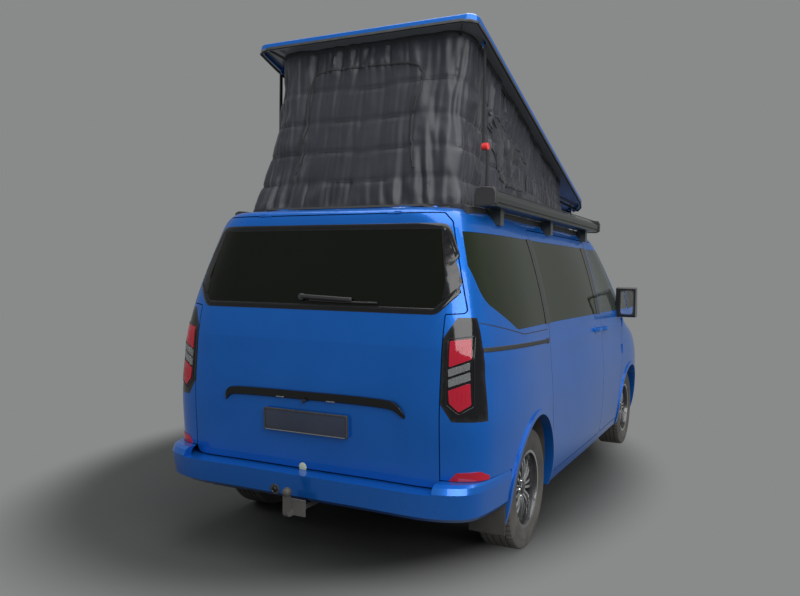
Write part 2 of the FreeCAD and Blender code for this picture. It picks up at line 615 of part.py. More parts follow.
grille_corners = both([
    (v.half_width * .54, v.nose_bumper_top + v.wall_thick, v.corner_round),
    (v.half_width * .60, v.bonnet_foot - v.wall_thick * .7, v.corner_round)])
head_corners = [
    (v.half_width * .63, v.nose_bumper_top + v.wall_thick * 2, v.corner_round),
    (v.half_width * .90, v.nose_bumper_top + v.wall_thick * 2.8, v.corner_round),
    (v.half_width * .965, v.bonnet_foot - v.wall_thick * .4, v.corner_round / 2),
    (v.half_width * .66, v.bonnet_foot - v.wall_thick * .7, v.corner_round / 2)]
intake_corners = both([
    (v.half_width * .50, v.bumper_foot - v.wall_thick * .4, v.corner_round),
    (v.half_width * .58, v.nose_bumper_top - v.wall_thick * 2, v.corner_round)])
nose_range = ("y", -v.nose_reach - v.overrun, -v.nose_cut_y)
grille_hole = prism(grown(grille_corners, v.seat_gap), *nose_range)
head_hole = prism(grown(head_corners, v.seat_gap), *nose_range)
screen_range = ("y", -v.nose_reach + v.wall_thick * 9, -v.door_peak_y + v.wall_thick)

rest = shell.cut([gate_hole, bonnet_hole, door_hole, flip(door_hole), slide_hole, nose_box, tail_box,
                  under_box,
                  lamp_hole, flip(lamp_hole), grille_hole, head_hole, flip(head_hole),
                  prism(screen_corners, *screen_range)] + arch_rooms)
shape_part("windscreen", pane_in(screen_corners, *screen_range))

# Roof panel with its opening, and the lugs of the pop-up roof's arms and stays

roof_shape = rest.common(roof_form).cut(hatch)
arm_foot = Vec(0, -v.arm_foot_y, v.arm_foot_z)
stay_foot = Vec(0, v.stay_y, v.stay_foot_z)
pin_hole = v.pin_radius + v.seat_gap
arm_lug_x = v.arm_x - v.arm_thick - v.seat_gap
stay_lug_x = v.stay_x - v.arm_thick - v.seat_gap


def lug(x, pin, reach_to):
    """A plate round a cross pin, reaching to what carries it."""
    low, high = sorted((pin.z, reach_to))
    plate = block((x, pin.y - v.arm_deep / 2, low), (x + v.arm_thick, pin.y + v.arm_deep / 2, high))
    eye = Part.makeCylinder(v.arm_deep / 2, v.arm_thick, Vec(x, pin.y, pin.z), Vec(1, 0, 0))
    return plate.fuse(eye).cut(Part.makeCylinder(pin_hole, v.arm_thick, Vec(x, pin.y, pin.z), Vec(1, 0, 0)))


roof_lugs = [lug(arm_lug_x, arm_foot, v.roof_seam_height), lug(stay_lug_x, stay_foot, v.roof_seam_height)]
roof_lugs = [piece.cut(inner) for piece in roof_lugs]
roof_shape = roof_shape.fuse(roof_lugs + [flip(piece) for piece in roof_lugs] + [gate_host])
roof_shape = roof_shape.cut(gate_own_room)
shape_part("roof_panel", roof_shape)

# Side walls with pillars, wings, sills and flares

walls = rest.cut(roof_form)


def side_wall(half_wall, windows):
    """One side wall, worked on the left, with its flares, hinge knuckles and window holes."""
    flares = [flare(radius, station) for radius, station in ARCHES]
    wall = half_wall.fuse(flares + [door_host, bonnet_host.common(left_half)])
    return wall.cut([nose_box, tail_box, door_own_room, bonnet_own_room] + windows)


left_half = block((v.seat_gap / 2, -v.nose_reach - v.overrun, 0),
                  (FAR, v.tail_reach + v.overrun, v.roof_height * 2))
side_windows = (corner_window_corners, middle_window_corners, quarter_window_corners)
corner_hole, middle_hole, quarter_hole = [side(corners) for corners in side_windows]
corner_pane, middle_pane, quarter_pane = [pane_in(corners, "x", side_from, side_to) for corners in side_windows]
rear_pillar = [prism(grown(gate_corners, v.pillar_wide + extra), "y", v.gate_cut_y - v.overrun,
                     v.tail_reach + v.overrun) for extra in (0, v.seat_gap)]
quarter_hole = quarter_hole.cut(rear_pillar[0])
quarter_pane = quarter_pane.cut(rear_pillar[1])
left_wall = side_wall(walls.common(left_half), [corner_hole, middle_hole, quarter_hole])
right_wall = side_wall(flip(walls.common(flip(left_half))), [corner_hole, quarter_hole])
shape_part("body_side_left", left_wall)
shape_part("body_side_right", flip(right_wall))
shape_part("sliding_door", slide_shape)
shape_part("side_glass", Part.makeCompound([corner_pane, middle_pane, quarter_pane, flip(corner_pane),
                                            flip(quarter_pane), slide_pane]))

# Lamps, bumpers and grille

tail_lamp = shell.common(lamp_form)
shape_part("tail_lamps", Part.makeCompound([tail_lamp, flip(tail_lamp)]))
head_lamp = shell.common(prism(head_corners, *nose_range)).cut(bonnet_hole)
shape_part("headlamps", Part.makeCompound([head_lamp, flip(head_lamp)]))


grille_layer = lower_form(v.glass_back).cut(lower_form(v.wall_thick))


def barred(corners, bars, rim):
    """A grille: a rim round an outline and level bars between, set back in the wall."""
    whole = prism(corners, *nose_range)
    inside = prism(grown(corners, -rim), *nose_range)
    foot = min(b for a, b, radius in corners)
    head = max(b for a, b, radius in corners)
    step = (head - foot) / (bars + 1)
    levels = [block((-FAR, -v.nose_reach - v.overrun, foot + step * n - rim / 2),
                    (FAR, -v.nose_cut_y, foot + step * n + rim / 2))
              for n in range(1, bars + 1)]
    lattice = whole.cut(inside).fuse([level.common(whole) for level in levels])
    return lattice.common(grille_layer)


upper_grille = barred(grille_corners, 4, v.wall_thick * .28)
lower_grille = barred(grown(intake_corners, -v.seat_gap), 3, v.wall_thick * .28)
shape_part("grille", Part.makeCompound([upper_grille, lower_grille]))
front_bumper = shell.common(block((-FAR, -v.nose_reach - v.overrun, v.sill_bottom),
                                  (FAR, -v.nose_cut_y - v.panel_gap, v.nose_bumper_top - v.panel_gap / 2)))
front_bumper = front_bumper.cut(arch_rooms[:1] + arch_rooms[2:3] + [prism(intake_corners, *nose_range)])
shape_part("front_bumper", front_bumper)

# Level lines of the rear bumper: height over its own, half width and reach, as shares.
BUMPER_SHARES = ((0, .948, .970), (.16, .972, .992), (.78, .984, 1.0), (.93, .982, .994), (1.0, .976, .980))


def bumper_form(inset):
    tall = v.bumper_top + v.wall_thick - v.bumper_foot
    levels = [loop(v.bumper_foot + share * tall, wide * v.half_width - inset, v.nose_reach / 2,
                   reach * v.bumper_reach - inset,
                   BODY_SQUARENESS) for share, wide, reach in BUMPER_SHARES]
    return Part.makeLoft(levels, True, True)


bumper_room = bumper_form(v.wall_thick + v.seat_gap)
shelf = bumper_form(0).common(block((-FAR, v.bumper_wrap_y, v.bumper_top - v.shelf_thick),
                                    (FAR, FAR * 2, v.bumper_top)))
shelf = shelf.cut(lower_form(v.wall_thick))
rear_bumper = bumper_form(0).cut(bumper_form(v.wall_thick)).fuse(shelf)
gate_swing = block((-v.gate_half - v.panel_gap, 0, v.bumper_top),
                   (v.gate_half + v.panel_gap, FAR * 2, v.roof_height))
behind_wrap = block((-FAR, v.bumper_wrap_y + v.panel_gap, 0),
                    (FAR, FAR * 2, v.bumper_top + v.wall_thick - v.panel_gap / 2))
shape_part("rear_bumper", rear_bumper.common(behind_wrap).cut([gate_swing] + arch_rooms))

# Floor with its chassis rails

floor_low = v.floor_top - v.floor_thick
liner_rooms = [wheel_room(radius + v.liner_thick + v.seat_gap, station, v.liner_x - v.seat_gap) for radius,
               station in ARCHES]
liner_rooms += [flip(room) for room in liner_rooms]
floor = block((-FAR, -v.bulkhead_y, floor_low), (FAR, v.tail_reach,
                                                 v.floor_top)).common(lining).cut(liner_rooms)


def chassis_rail(x):
    low = (x - v.chassis_wide / 2, -v.nose_reach, floor_low - v.chassis_tall)
    high = (x + v.chassis_wide / 2, v.tail_reach - v.wall_thick * 3, floor_low)
    bracket = block((low[0], high[1], v.bumper_foot + v.panel_gap * 5),
                    (high[0], v.bumper_reach, floor_low))
    return block(low, high).common(lining).fuse(bracket.common(bumper_room))


shape_part("floor_pan", floor.fuse([chassis_rail(v.rail_x), chassis_rail(-v.rail_x)]))

# Bulkhead between the engine and the cab

bulkhead = block((-FAR, -v.bulkhead_y - v.bulkhead_thick, floor_low + v.seat_gap),
                 (FAR, -v.bulkhead_y - v.seat_gap, v.belt_height - v.wall_thick))
rail_room = [block((x - v.chassis_wide / 2 - v.seat_gap, -FAR * 2, 0),
                   (x + v.chassis_wide / 2 + v.seat_gap, 0, floor_low + v.seat_gap)) for x in (v.rail_x, -v.rail_x)]
shape_part("bulkhead", bulkhead.common(lining).cut(liner_rooms + rail_room))

# Wheel liners with mud flaps


def liner(radius, station):
    arc = wheel_room(radius + v.liner_thick, station).cut(wheel_room(radius, station,
                                                                     v.liner_x - v.overrun))
    cheek = wheel_room(radius + v.liner_thick, station).common(block((v.liner_x, -FAR * 2,
                                                                      floor_low - v.wall_thick),
                                                                      (v.liner_x + v.liner_thick, FAR * 2,
                                                                       FAR)))
    arc = arc.common(block((0, -FAR * 2, v.sill_bottom + v.wall_thick), (FAR, FAR * 2, FAR)))
    drop = math.sqrt(radius ** 2 - (v.tyre_radius - v.sill_bottom - v.wall_thick) ** 2)
    edge = station + drop
    flap = prism([(edge, v.sill_bottom + v.wall_thick * 2, 1),
                  (edge + v.liner_thick, v.sill_bottom + v.wall_thick * 2, 1),
                  (edge - v.overrun + v.liner_thick, v.tyre_radius * .32, 1),
                  (edge - v.overrun, v.tyre_radius * .32, 1)],
                 "x", v.wheel_x - v.tyre_width * .3, v.wheel_x + v.tyre_width * .42)
    return arc.fuse([cheek]).common(lining).fuse(flap.common(lining))


liners = [liner(radius, station) for radius, station in ARCHES]
shape_part("wheel_liners", Part.makeCompound(liners + [flip(piece) for piece in liners]))

# Front subframe with its lower arms

beam_top = floor_low - v.chassis_tall - v.seat_gap
arm_level = v.tyre_radius * .49
arm_eye = v.strut_radius
subframe = block((-v.rail_x - v.chassis_wide / 2, -v.front_axle_y - v.chassis_wide * 1.5,
                  beam_top - v.chassis_tall),
                 (v.rail_x + v.chassis_wide / 2, -v.front_axle_y + v.chassis_wide * 1.5, beam_top))
arm_corners = [(v.rail_x, beam_top - v.chassis_tall, 2), (v.rail_x, beam_top - v.chassis_tall * .4, 2),
               (v.kingpin_x - v.chassis_wide, arm_level + v.pin_radius * 6, 2),
               (v.kingpin_x, arm_level + v.pin_radius * 6, 2), (v.kingpin_x, arm_level, 2),
               (v.kingpin_x - v.chassis_wide, arm_level, 2)]
wishbone = prism(arm_corners, "y", -v.front_axle_y - v.strut_radius, -v.front_axle_y + v.strut_radius)
wishbone = wishbone.fuse(Part.makeCylinder(arm_eye, v.pin_radius * 6,
                                           Vec(v.kingpin_x, -v.front_axle_y, arm_level)))
shape_part("front_subframe", subframe.fuse([wishbone, flip(wishbone)]))

# Knuckles: hub, brake disc, lower boss on the steering axis and strut

hub_end = v.wheel_x + v.hub_face - v.seat_gap


def hub_and_disc(x_from, station):
    hub = Part.makeCylinder(v.hub_radius * .7, hub_end - x_from, Vec(x_from, station, v.tyre_radius),
                            Vec(1, 0, 0))
    disc = Part.makeCylinder(v.disc_radius, v.disc_thick,
                             Vec(hub_end - v.disc_thick * 2, station, v.tyre_radius), Vec(1, 0, 0))
    return hub.fuse(disc)


boss_low = arm_level + v.pin_radius * 6 + v.seat_gap
strut_x = v.kingpin_x - v.tyre_width * .31
boss = Part.makeCylinder(arm_eye, v.tyre_radius - boss_low, Vec(v.kingpin_x, -v.front_axle_y, boss_low))
clamp = block((strut_x, -v.front_axle_y - v.strut_radius, v.tyre_radius - v.strut_radius),
              (v.kingpin_x, -v.front_axle_y + v.strut_radius, v.tyre_radius + v.strut_radius))
upright = block((strut_x - v.strut_radius, -v.front_axle_y - v.strut_radius,
                 v.tyre_radius - v.strut_radius),
                (strut_x + v.strut_radius, -v.front_axle_y + v.strut_radius, v.tyre_radius + v.disc_radius))
strut_top = v.tyre_radius + v.front_arch_radius - v.panel_gap * 3
strut = Part.makeCylinder(v.strut_radius, strut_top - v.tyre_radius,
                          Vec(strut_x, -v.front_axle_y, v.tyre_radius))
knuckle = hub_and_disc(strut_x, -v.front_axle_y).fuse([boss, clamp, upright, strut])
knuckle_left = shape_part("knuckle_left", knuckle)
keep(mirrored("knuckle_right", knuckle_left), "knuckle_right")

# Rear axle: a beam, trailing arms and springs under the floor

rear_hub = hub_and_disc(v.rail_x, v.rear_axle_y)
beam = Part.makeCylinder(v.axle_radius, v.rail_x * 2, Vec(-v.rail_x, v.rear_axle_y, v.tyre_radius),
                         Vec(1, 0, 0))
trail = block((v.rail_x - v.axle_radius, v.rear_axle_y - v.rear_arch_radius,
               v.tyre_radius - v.axle_radius / 2),
              (v.rail_x + v.axle_radius, v.rear_axle_y, v.tyre_radius + v.axle_radius / 2))
hanger = block((v.rail_x - v.axle_radius / 2, v.rear_axle_y - v.rear_arch_radius, v.tyre_radius),
               (v.rail_x + v.axle_radius / 2, v.rear_axle_y - v.rear_arch_radius + v.axle_radius, beam_top))
spring = Part.makeCylinder(v.axle_radius, floor_low - v.seat_gap - v.tyre_radius,
                           Vec(v.rail_x - v.chassis_wide - v.axle_radius, v.rear_axle_y, v.tyre_radius))
half_axle = [rear_hub, trail, hanger, spring]
shape_part("rear_axle", beam.fuse(half_axle + [flip(piece) for piece in half_axle]))

# Engine, exhaust and tow bar

engine_half = v.rail_x - v.chassis_wide / 2 - v.seat_gap
engine_rear_y = -v.bulkhead_y - v.bulkhead_thick - v.wall_thick * 3
engine = box("engine_block", str(engine_half * 2), "engine_long", "engine_tall", str(-engine_half),
             str(engine_rear_y) + " - engine_long", "floor_top - floor_thick - chassis_tall")
keep(engine, "engine_block")

silencer_radius = v.pipe_radius * 2.8
pipe_x = -v.rail_x * .5
pipe_z = floor_low - v.pipe_radius - v.panel_gap * 2
silencer_z = floor_low - v.seat_gap - silencer_radius
silencer_y = v.rear_axle_y + v.axle_radius * 3
silencer = Part.makeCylinder(silencer_radius, v.rear_arch_radius, Vec(pipe_x, silencer_y, silencer_z),
                             Vec(0, 1, 0))
pipe = Part.makeCylinder(v.pipe_radius, silencer_y + v.front_axle_y * .8,
                         Vec(pipe_x, -v.front_axle_y * .8, pipe_z), Vec(0, 1, 0))
shape_part("exhaust", silencer.fuse(pipe))

neck_half = v.ball_radius * .6
neck_low = v.bumper_foot - v.ball_radius * 2
beam_y = v.tail_reach - v.wall_thick * 2
tow_beam = block((-v.rail_x + v.chassis_wide / 2 + v.seat_gap, beam_y - v.chassis_wide,
                  neck_low + neck_half * 2), (v.rail_x - v.chassis_wide / 2 - v.seat_gap, beam_y,
                                              v.bumper_foot + v.wall_thick))
neck = prism([(beam_y - v.chassis_wide, neck_low + neck_half * 4, 4),
              (beam_y - v.chassis_wide, neck_low, neck_half),
              (v.ball_reach + neck_half, neck_low, neck_half * 1.6),
              (v.ball_reach + neck_half, v.ball_height, 4), (v.ball_reach - neck_half, v.ball_height, 4),
              (v.ball_reach - neck_half, neck_low + neck_half * 1.8, 4),
              (beam_y - v.chassis_wide * .4, neck_low + neck_half * 1.8, 4),
              (beam_y - v.chassis_wide * .4, neck_low + neck_half * 4, 4)],
             "x", -neck_half, neck_half)
ball = Part.makeSphere(v.ball_radius, Vec(0, v.ball_reach, v.ball_height))
plate_y = v.ball_reach - v.ball_radius * 1.6
socket_plate = block((-v.ball_radius * 3.4, plate_y - v.arm_thick, neck_low),
                     (v.ball_radius * 1.2, plate_y, neck_low + v.ball_radius * 3.4))
shape_part("tow_bar", tow_beam.fuse([neck, ball, socket_plate]))

# Pop-up roof: the shell is drawn shut and then set open

open_turn = FreeCAD.Rotation(Vec(1, 0, 0), v.shell_tilt)


def arm_end(angle):
    turn = math.radians(angle)
    return arm_foot + Vec(0, math.cos(turn), math.sin(turn)) * v.arm_length


arm_open = arm_end(v.arm_angle)
arm_shut = arm_end(v.arm_angle - v.arm_travel)
open_place = FreeCAD.Placement(arm_open - open_turn.multVec(arm_shut), open_turn)
shell_base = arm_shut.z - v.arm_rise
shell_tip_y = arm_shut.y - v.arm_tip_gap
shell_plan = both([(v.shell_half, shell_tip_y, v.shell_nose_round),
                   (v.shell_half, shell_tip_y + v.shell_length, v.shell_tail_round)])
shell_chamfer = v.shell_edge - v.shell_rim * 1.5


def shell_level(rise, inset):
    """The shell's outline at a height over its lower edge, drawn in all round."""
    return rounded(grown(shell_plan, -inset), lambda p: Vec(p.x, p.y, shell_base + rise))


pop_roof = Part.makeLoft([
    shell_level(0, shell_chamfer * .6), shell_level(shell_chamfer * .6, 0),
    shell_level(v.shell_edge - shell_chamfer, 0),
    shell_level(v.shell_edge, shell_chamfer * .8), shell_level(v.shell_tall, v.shell_crown)], True, True)
hollow = Part.Face(shell_level(-v.overrun, v.shell_rim)).extrude(Vec(0, 0, v.overrun + v.shell_hollow))
arm_slot = block((arm_lug_x - v.panel_gap, shell_tip_y - v.overrun, shell_base - v.overrun),
                 (v.arm_x + v.arm_thick + v.panel_gap, arm_shut.y + v.arm_deep / 2 + v.panel_gap,
                  arm_shut.z + v.arm_deep / 2 + v.panel_gap))
pop_roof = pop_roof.cut([hollow, arm_slot, flip(arm_slot)])
stay_top_open = Vec(0, v.stay_y, 0)
shell_axis = open_turn.multVec(Vec(0, 1, 0))
under_point = open_place.multVec(Vec(0, shell_tip_y, shell_base - v.stay_drop))
stay_top_open = under_point + shell_axis * ((v.stay_y - under_point.y) / shell_axis.y)
stay_top_shut = open_place.inverse().multVec(stay_top_open)
upper_lug_x = v.stay_x - v.stay_step - v.arm_thick - v.seat_gap
shell_lugs = [lug(arm_lug_x, arm_shut, shell_base + v.shell_hollow + v.arm_thick),
              lug(upper_lug_x, stay_top_shut, shell_base + v.shell_hollow + v.arm_thick)]
pop_roof = pop_roof.fuse(shell_lugs + [flip(piece) for piece in shell_lugs])
shape_part("pop_roof", pop_roof, open_place)


def link(x, foot, top, pins):
    """A flat bar between two pin centres with a cross pin, inboard, at each end named in pins."""
    along = top - foot
    turn = math.degrees(math.atan2(along.z, along.y))
    bar = Part.makeBox(v.arm_thick, along.Length, v.arm_deep, Vec(x, 0, -v.arm_deep / 2))
    ends = [Part.makeCylinder(v.arm_deep / 2, v.arm_thick, Vec(x, reach, 0), Vec(1, 0, 0))
            for reach in (0, along.Length)]
    bar = bar.fuse(ends)
    for reach in pins:
        pin = Part.makeCylinder(v.pin_radius, v.arm_thick * 2 + v.seat_gap,
                                Vec(x - v.arm_thick - v.seat_gap, reach * along.Length, 0), Vec(1, 0, 0))
        bar = bar.fuse(pin)
    bar.rotate(Vec(), Vec(1, 0, 0), turn)
    bar.translate(Vec(0, foot.y, foot.z))
    return Part.makeCompound([bar, flip(bar)])


elbow = Vec(0, v.stay_y, v.stay_foot_z + v.stay_lower)
shape_part("roof_arms", link(v.arm_x, arm_foot, arm_open, (0, 1)))
shape_part("stay_lower", link(v.stay_x, stay_foot, elbow, (0,)))
shape_part("stay_upper", link(v.stay_x - v.stay_step, stay_top_open, elbow, (0,)))

# Tent between the roof and the open shell


def tent_ring(share, half, radius, inset):
    """The tent's outline at a share of its height, on a plane that turns with that share."""
    ends = []
    for sign, foot_y, top_y in ((1, -v.tent_front_y, v.tent_top_front),
                                (-1, v.tent_rear_y, v.tent_top_rear)):
        foot = Vec(0, foot_y + sign * inset, v.roof_height - v.wall_thick)
        top = open_place.multVec(Vec(0, shell_tip_y + top_y + sign * inset,
                                     shell_base + v.shell_hollow - v.seat_gap))
        ends.append(foot + (top - foot) * share)
    along = (ends[1] - ends[0]).normalize()
    corners = both([(half - inset, 0, radius), (half - inset, (ends[1] - ends[0]).Length, radius)])
    return rounded(corners, lambda p: ends[0] + Vec(p.x, 0, 0) + along * p.y)


def tent_form(inset):
    middle_half = (v.tent_half + v.tent_top_half) / 2 - v.tent_waist
    return Part.makeLoft([tent_ring(0, v.tent_half, v.tent_round, inset),
                          tent_ring(.5, middle_half, v.tent_waist_round, inset),
                          tent_ring(1, v.tent_top_half, v.tent_waist_round * .7, inset)], True, False)


tent = tent_form(0).cut(tent_form(v.tent_thick)).cut(above_body)
shape_part("tent_fabric", tent)

# Awning case on the right-hand roof edge and the two roof rails

awning_corners = [
    (-v.awning_x, v.awning_foot, 6), (-v.awning_x, v.awning_foot + v.awning_tall * .86, 12),
    (-v.awning_x - v.awning_wide * .45, v.awning_foot + v.awning_tall, 20),
    (-v.awning_x - v.awning_wide, v.awning_foot + v.awning_tall * .62, 24),
    (-v.awning_x - v.awning_wide * .92, v.awning_foot, 14)]
awning_front_y = v.awning_rear_y - v.awning_length
case = prism(grown(awning_corners, -v.panel_gap / 2), "y", awning_front_y + v.awning_cap,
             v.awning_rear_y - v.awning_cap)
caps = [prism(awning_corners, "y", awning_front_y, awning_front_y + v.awning_cap),
        prism(awning_corners, "y", v.awning_rear_y - v.awning_cap, v.awning_rear_y)]
bracket_outer = v.awning_x + v.awning_wide * .5
bracket_inner = v.roof_seam_half + v.rail_wide + v.panel_gap * 2
brackets = [block((-bracket_outer, awning_front_y + v.awning_length * share, v.roof_seam_height),
                  (-bracket_inner, awning_front_y + v.awning_length * share + v.awning_wide * .5,
                   v.awning_foot + v.panel_gap))
            for share in (.08, .48, .88)]
awning = case.fuse(caps + [piece.cut(above_body) for piece in brackets])
shape_part("awning", awning)
rail_form = block((v.roof_seam_half + v.panel_gap, -v.tent_front_y, v.roof_seam_height),
                  (v.roof_seam_half + v.panel_gap + v.rail_wide, v.awning_rear_y + v.wall_thick, FAR * 2))
rail = rail_form.common(upper_form(-v.rail_tall)).cut(above_body)
shape_part("roof_rails", Part.makeCompound([rail, flip(rail)]))

# Furniture

dash_y = -v.bulkhead_y + v.seat_gap
dash_corners = [(dash_y, v.floor_top + v.seat_top * .42, 20),
                (dash_y, v.belt_height - v.wall_thick * .6, 10),
                (dash_y + v.seat_long * .52, v.belt_height, 40),
                (dash_y + v.seat_long * .68, v.belt_height - v.wall_thick * 1.6, 40),
                (dash_y + v.seat_long * .6, v.belt_height - v.wall_thick * 5, 30),
                (dash_y + v.seat_long * .35, v.floor_top + v.seat_top * .42, 30)]
furniture_room = lower_form(v.wall_thick + v.panel_gap)
dash = prism(dash_corners, "x", -v.half_width, v.half_width).common(furniture_room).cut(liner_rooms)
wheel_turn = FreeCAD.Rotation(Vec(1, 0, 0), -62)
wheel_centre = Vec(v.seat_x, dash_y + v.seat_long * .92, v.belt_height - v.wall_thick)
rim_ring = Part.makeTorus(v.seat_wide * .37, v.strut_radius * .55)
boss_pad = Part.makeCylinder(v.hub_radius, v.strut_radius * 1.4, Vec(0, 0, -v.strut_radius))
spoke_bars = block((-v.seat_wide * .36, -v.strut_radius * .6, -v.strut_radius * .4),
                   (v.seat_wide * .36, v.strut_radius * .6, v.strut_radius * .2))
spoke_down = block((-v.strut_radius * .6, -v.seat_wide * .36, -v.strut_radius * .4),
                   (v.strut_radius * .6, 0, v.strut_radius * .2))
column = Part.makeCylinder(v.strut_radius, v.seat_long * .6, Vec(0, 0, -v.seat_long * .6))
steering_wheel = rim_ring.fuse([boss_pad, spoke_bars, spoke_down, column])
steering_wheel.Placement = FreeCAD.Placement(wheel_centre, wheel_turn)
shape_part("dashboard", dash.fuse(steering_wheel))


def seat(x, wide, rear_y):
    """A seat on its box: cushion, leaning back and head rest in one outline."""
    base = rear_y - v.seat_long
    low = v.floor_top + v.seat_gap
    pedestal = block((x - wide * .4, base + v.seat_long * .12, low),
                     (x + wide * .4, rear_y - v.seat_long * .1, v.seat_top - v.cushion_thick * .8))
    cushion = prism([(base, v.seat_top - v.cushion_thick, 30), (rear_y, v.seat_top - v.cushion_thick, 30),
                     (rear_y, v.seat_top - v.cushion_thick * .2, 30), (base, v.seat_top, 45)], "x",
                     x - wide / 2, x + wide / 2)
    top = v.seat_top + v.back_tall
    back = prism([(rear_y - v.cushion_thick * .9, v.seat_top - v.cushion_thick * .6, 20),
                  (rear_y + v.cushion_thick * .1, v.seat_top - v.cushion_thick * .6, 30),
                  (rear_y + v.cushion_thick * 1.1, top, 30), (rear_y + v.cushion_thick * .35, top, 30)],
                  "x", x - wide * .48, x + wide * .48)
    rest_y = rear_y + v.cushion_thick * .45
    head = prism([(rest_y, top - v.cushion_thick * .2, 15),
                  (rest_y + v.cushion_thick * .6, top - v.cushion_thick * .2, 15),
                  (rest_y + v.cushion_thick * .75, top + v.cushion_thick * 1.3, 25),
                  (rest_y + v.cushion_thick * .2, top + v.cushion_thick * 1.3, 25)], "x", x - wide * .26,
                  x + wide * .26)
    return pedestal.fuse([cushion, back, head])


shape_part("front_seats", Part.makeCompound([seat(v.seat_x, v.seat_wide, -v.seat_y),
                                             seat(-v.seat_x, v.seat_wide, -v.seat_y)]))
kitchen_inner = v.half_width - v.wall_thick * 1.4 - v.kitchen_deep
bench_left = kitchen_inner - v.panel_gap
bench_right = -v.liner_x + v.panel_gap
bench_x = (bench_left + bench_right) / 2
shape_part("rear_bench", seat(bench_x, bench_left - bench_right, v.rear_axle_y - v.cushion_thick))
kitchen = block((kitchen_inner, -v.pillar_y + v.seat_long, v.floor_top + v.seat_gap),
                (FAR, v.rear_axle_y + v.seat_long, v.kitchen_top))
shape_part("kitchen_unit", kitchen.common(furniture_room).cut(liner_rooms))

# Wheels: a tyre and a rim for each corner, drawn about their own axle


def closed_sketch(body, name, role, corners):
    """A closed outline on one of the body's planes; each corner's two distances follow the sheet."""
    sketch = body.newObject("Sketcher::SketchObject", name)
    plane = [item for item in body.Origin.OriginFeatures if item.Role == role][0]
    sketch.AttachmentSupport = [(plane, "")]
    sketch.MapMode = "FlatFace"
    count = len(corners)
    start = [Vec(v.tyre_radius * math.cos(math.tau * n / count),
                 v.tyre_radius * math.sin(math.tau * n / count)) for n in range(count)]
    for n in range(count):
        sketch.addGeometry(Part.LineSegment(start[n], start[(n + 1) % count]), False)
    for n in range(count):
        sketch.addConstraint(Sketcher.Constraint("Coincident", n, 2, (n + 1) % count, 1))
    for n, (across, up) in enumerate(corners):
        datum = sketch.addConstraint(Sketcher.Constraint("DistanceX", -1, 1, n, 1, start[n].x))
        sketch.setExpression("Constraints[%d]" % datum, cell(across))
        datum = sketch.addConstraint(Sketcher.Constraint("DistanceY", -1, 1, n, 1, start[n].y))
        sketch.setExpression("Constraints[%d]" % datum, cell(up))
    return sketch


def turned(body, name, corners):
    """A form turned about the axle from a half section of (across, radius) corners."""
    sketch = closed_sketch(body, name + "_section", "XY_Plane", corners)
    turn = body.newObject("PartDesign::Revolution", name)
    turn.Profile = sketch
    turn.ReferenceAxis = (sketch, ["H_Axis"])
    turn.Angle = 360
    return turn


TYRE_SECTION = (
    ("-tyre_width * 0.41", "rim_radius"), ("-tyre_width * 0.43", "lip_radius + seat_gap"),
    ("-tyre_width * 0.46", "lip_radius + seat_gap"), ("-tyre_width * 0.49",
                                                      "rim_radius + (tyre_radius - rim_radius) * 0.30"),
    ("-tyre_width * 0.5", "rim_radius + (tyre_radius - rim_radius) * 0.55"),
    ("-tyre_width * 0.47", "rim_radius + (tyre_radius - rim_radius) * 0.86"),
    ("-tread_width / 2", "tyre_radius"), ("tread_width / 2", "tyre_radius"),
    ("tyre_width * 0.47", "rim_radius + (tyre_radius - rim_radius) * 0.86"),
    ("tyre_width * 0.5", "rim_radius + (tyre_radius - rim_radius) * 0.55"),
    ("tyre_width * 0.49", "rim_radius + (tyre_radius - rim_radius) * 0.30"),
    ("tyre_width * 0.46", "lip_radius + seat_gap"),
    ("tyre_width * 0.43", "lip_radius + seat_gap"), ("tyre_width * 0.41", "rim_radius"))
RIM_SECTION = (
    ("-tyre_width * 0.44", "rim_radius - liner_thick * 2"), ("-tyre_width * 0.455", "lip_radius"),
    ("-tyre_width * 0.435", "lip_radius"),
    ("-tyre_width * 0.415", "rim_radius - seat_gap"), ("tyre_width * 0.415", "rim_radius - seat_gap"),
    ("tyre_width * 0.435", "lip_radius"),
    ("tyre_width * 0.455", "lip_radius"), ("tyre_width * 0.44", "rim_radius - liner_thick * 2"))
HUB_SECTION = (
    ("hub_face", "0"), ("hub_face", "hub_radius"), ("tyre_width * 0.44 - rim_dish * 0.7", "hub_radius"),
    ("tyre_width * 0.44 - rim_dish * 0.5", "hub_radius * 0.45"),
    ("tyre_width * 0.44 - rim_dish * 0.5", "0"))


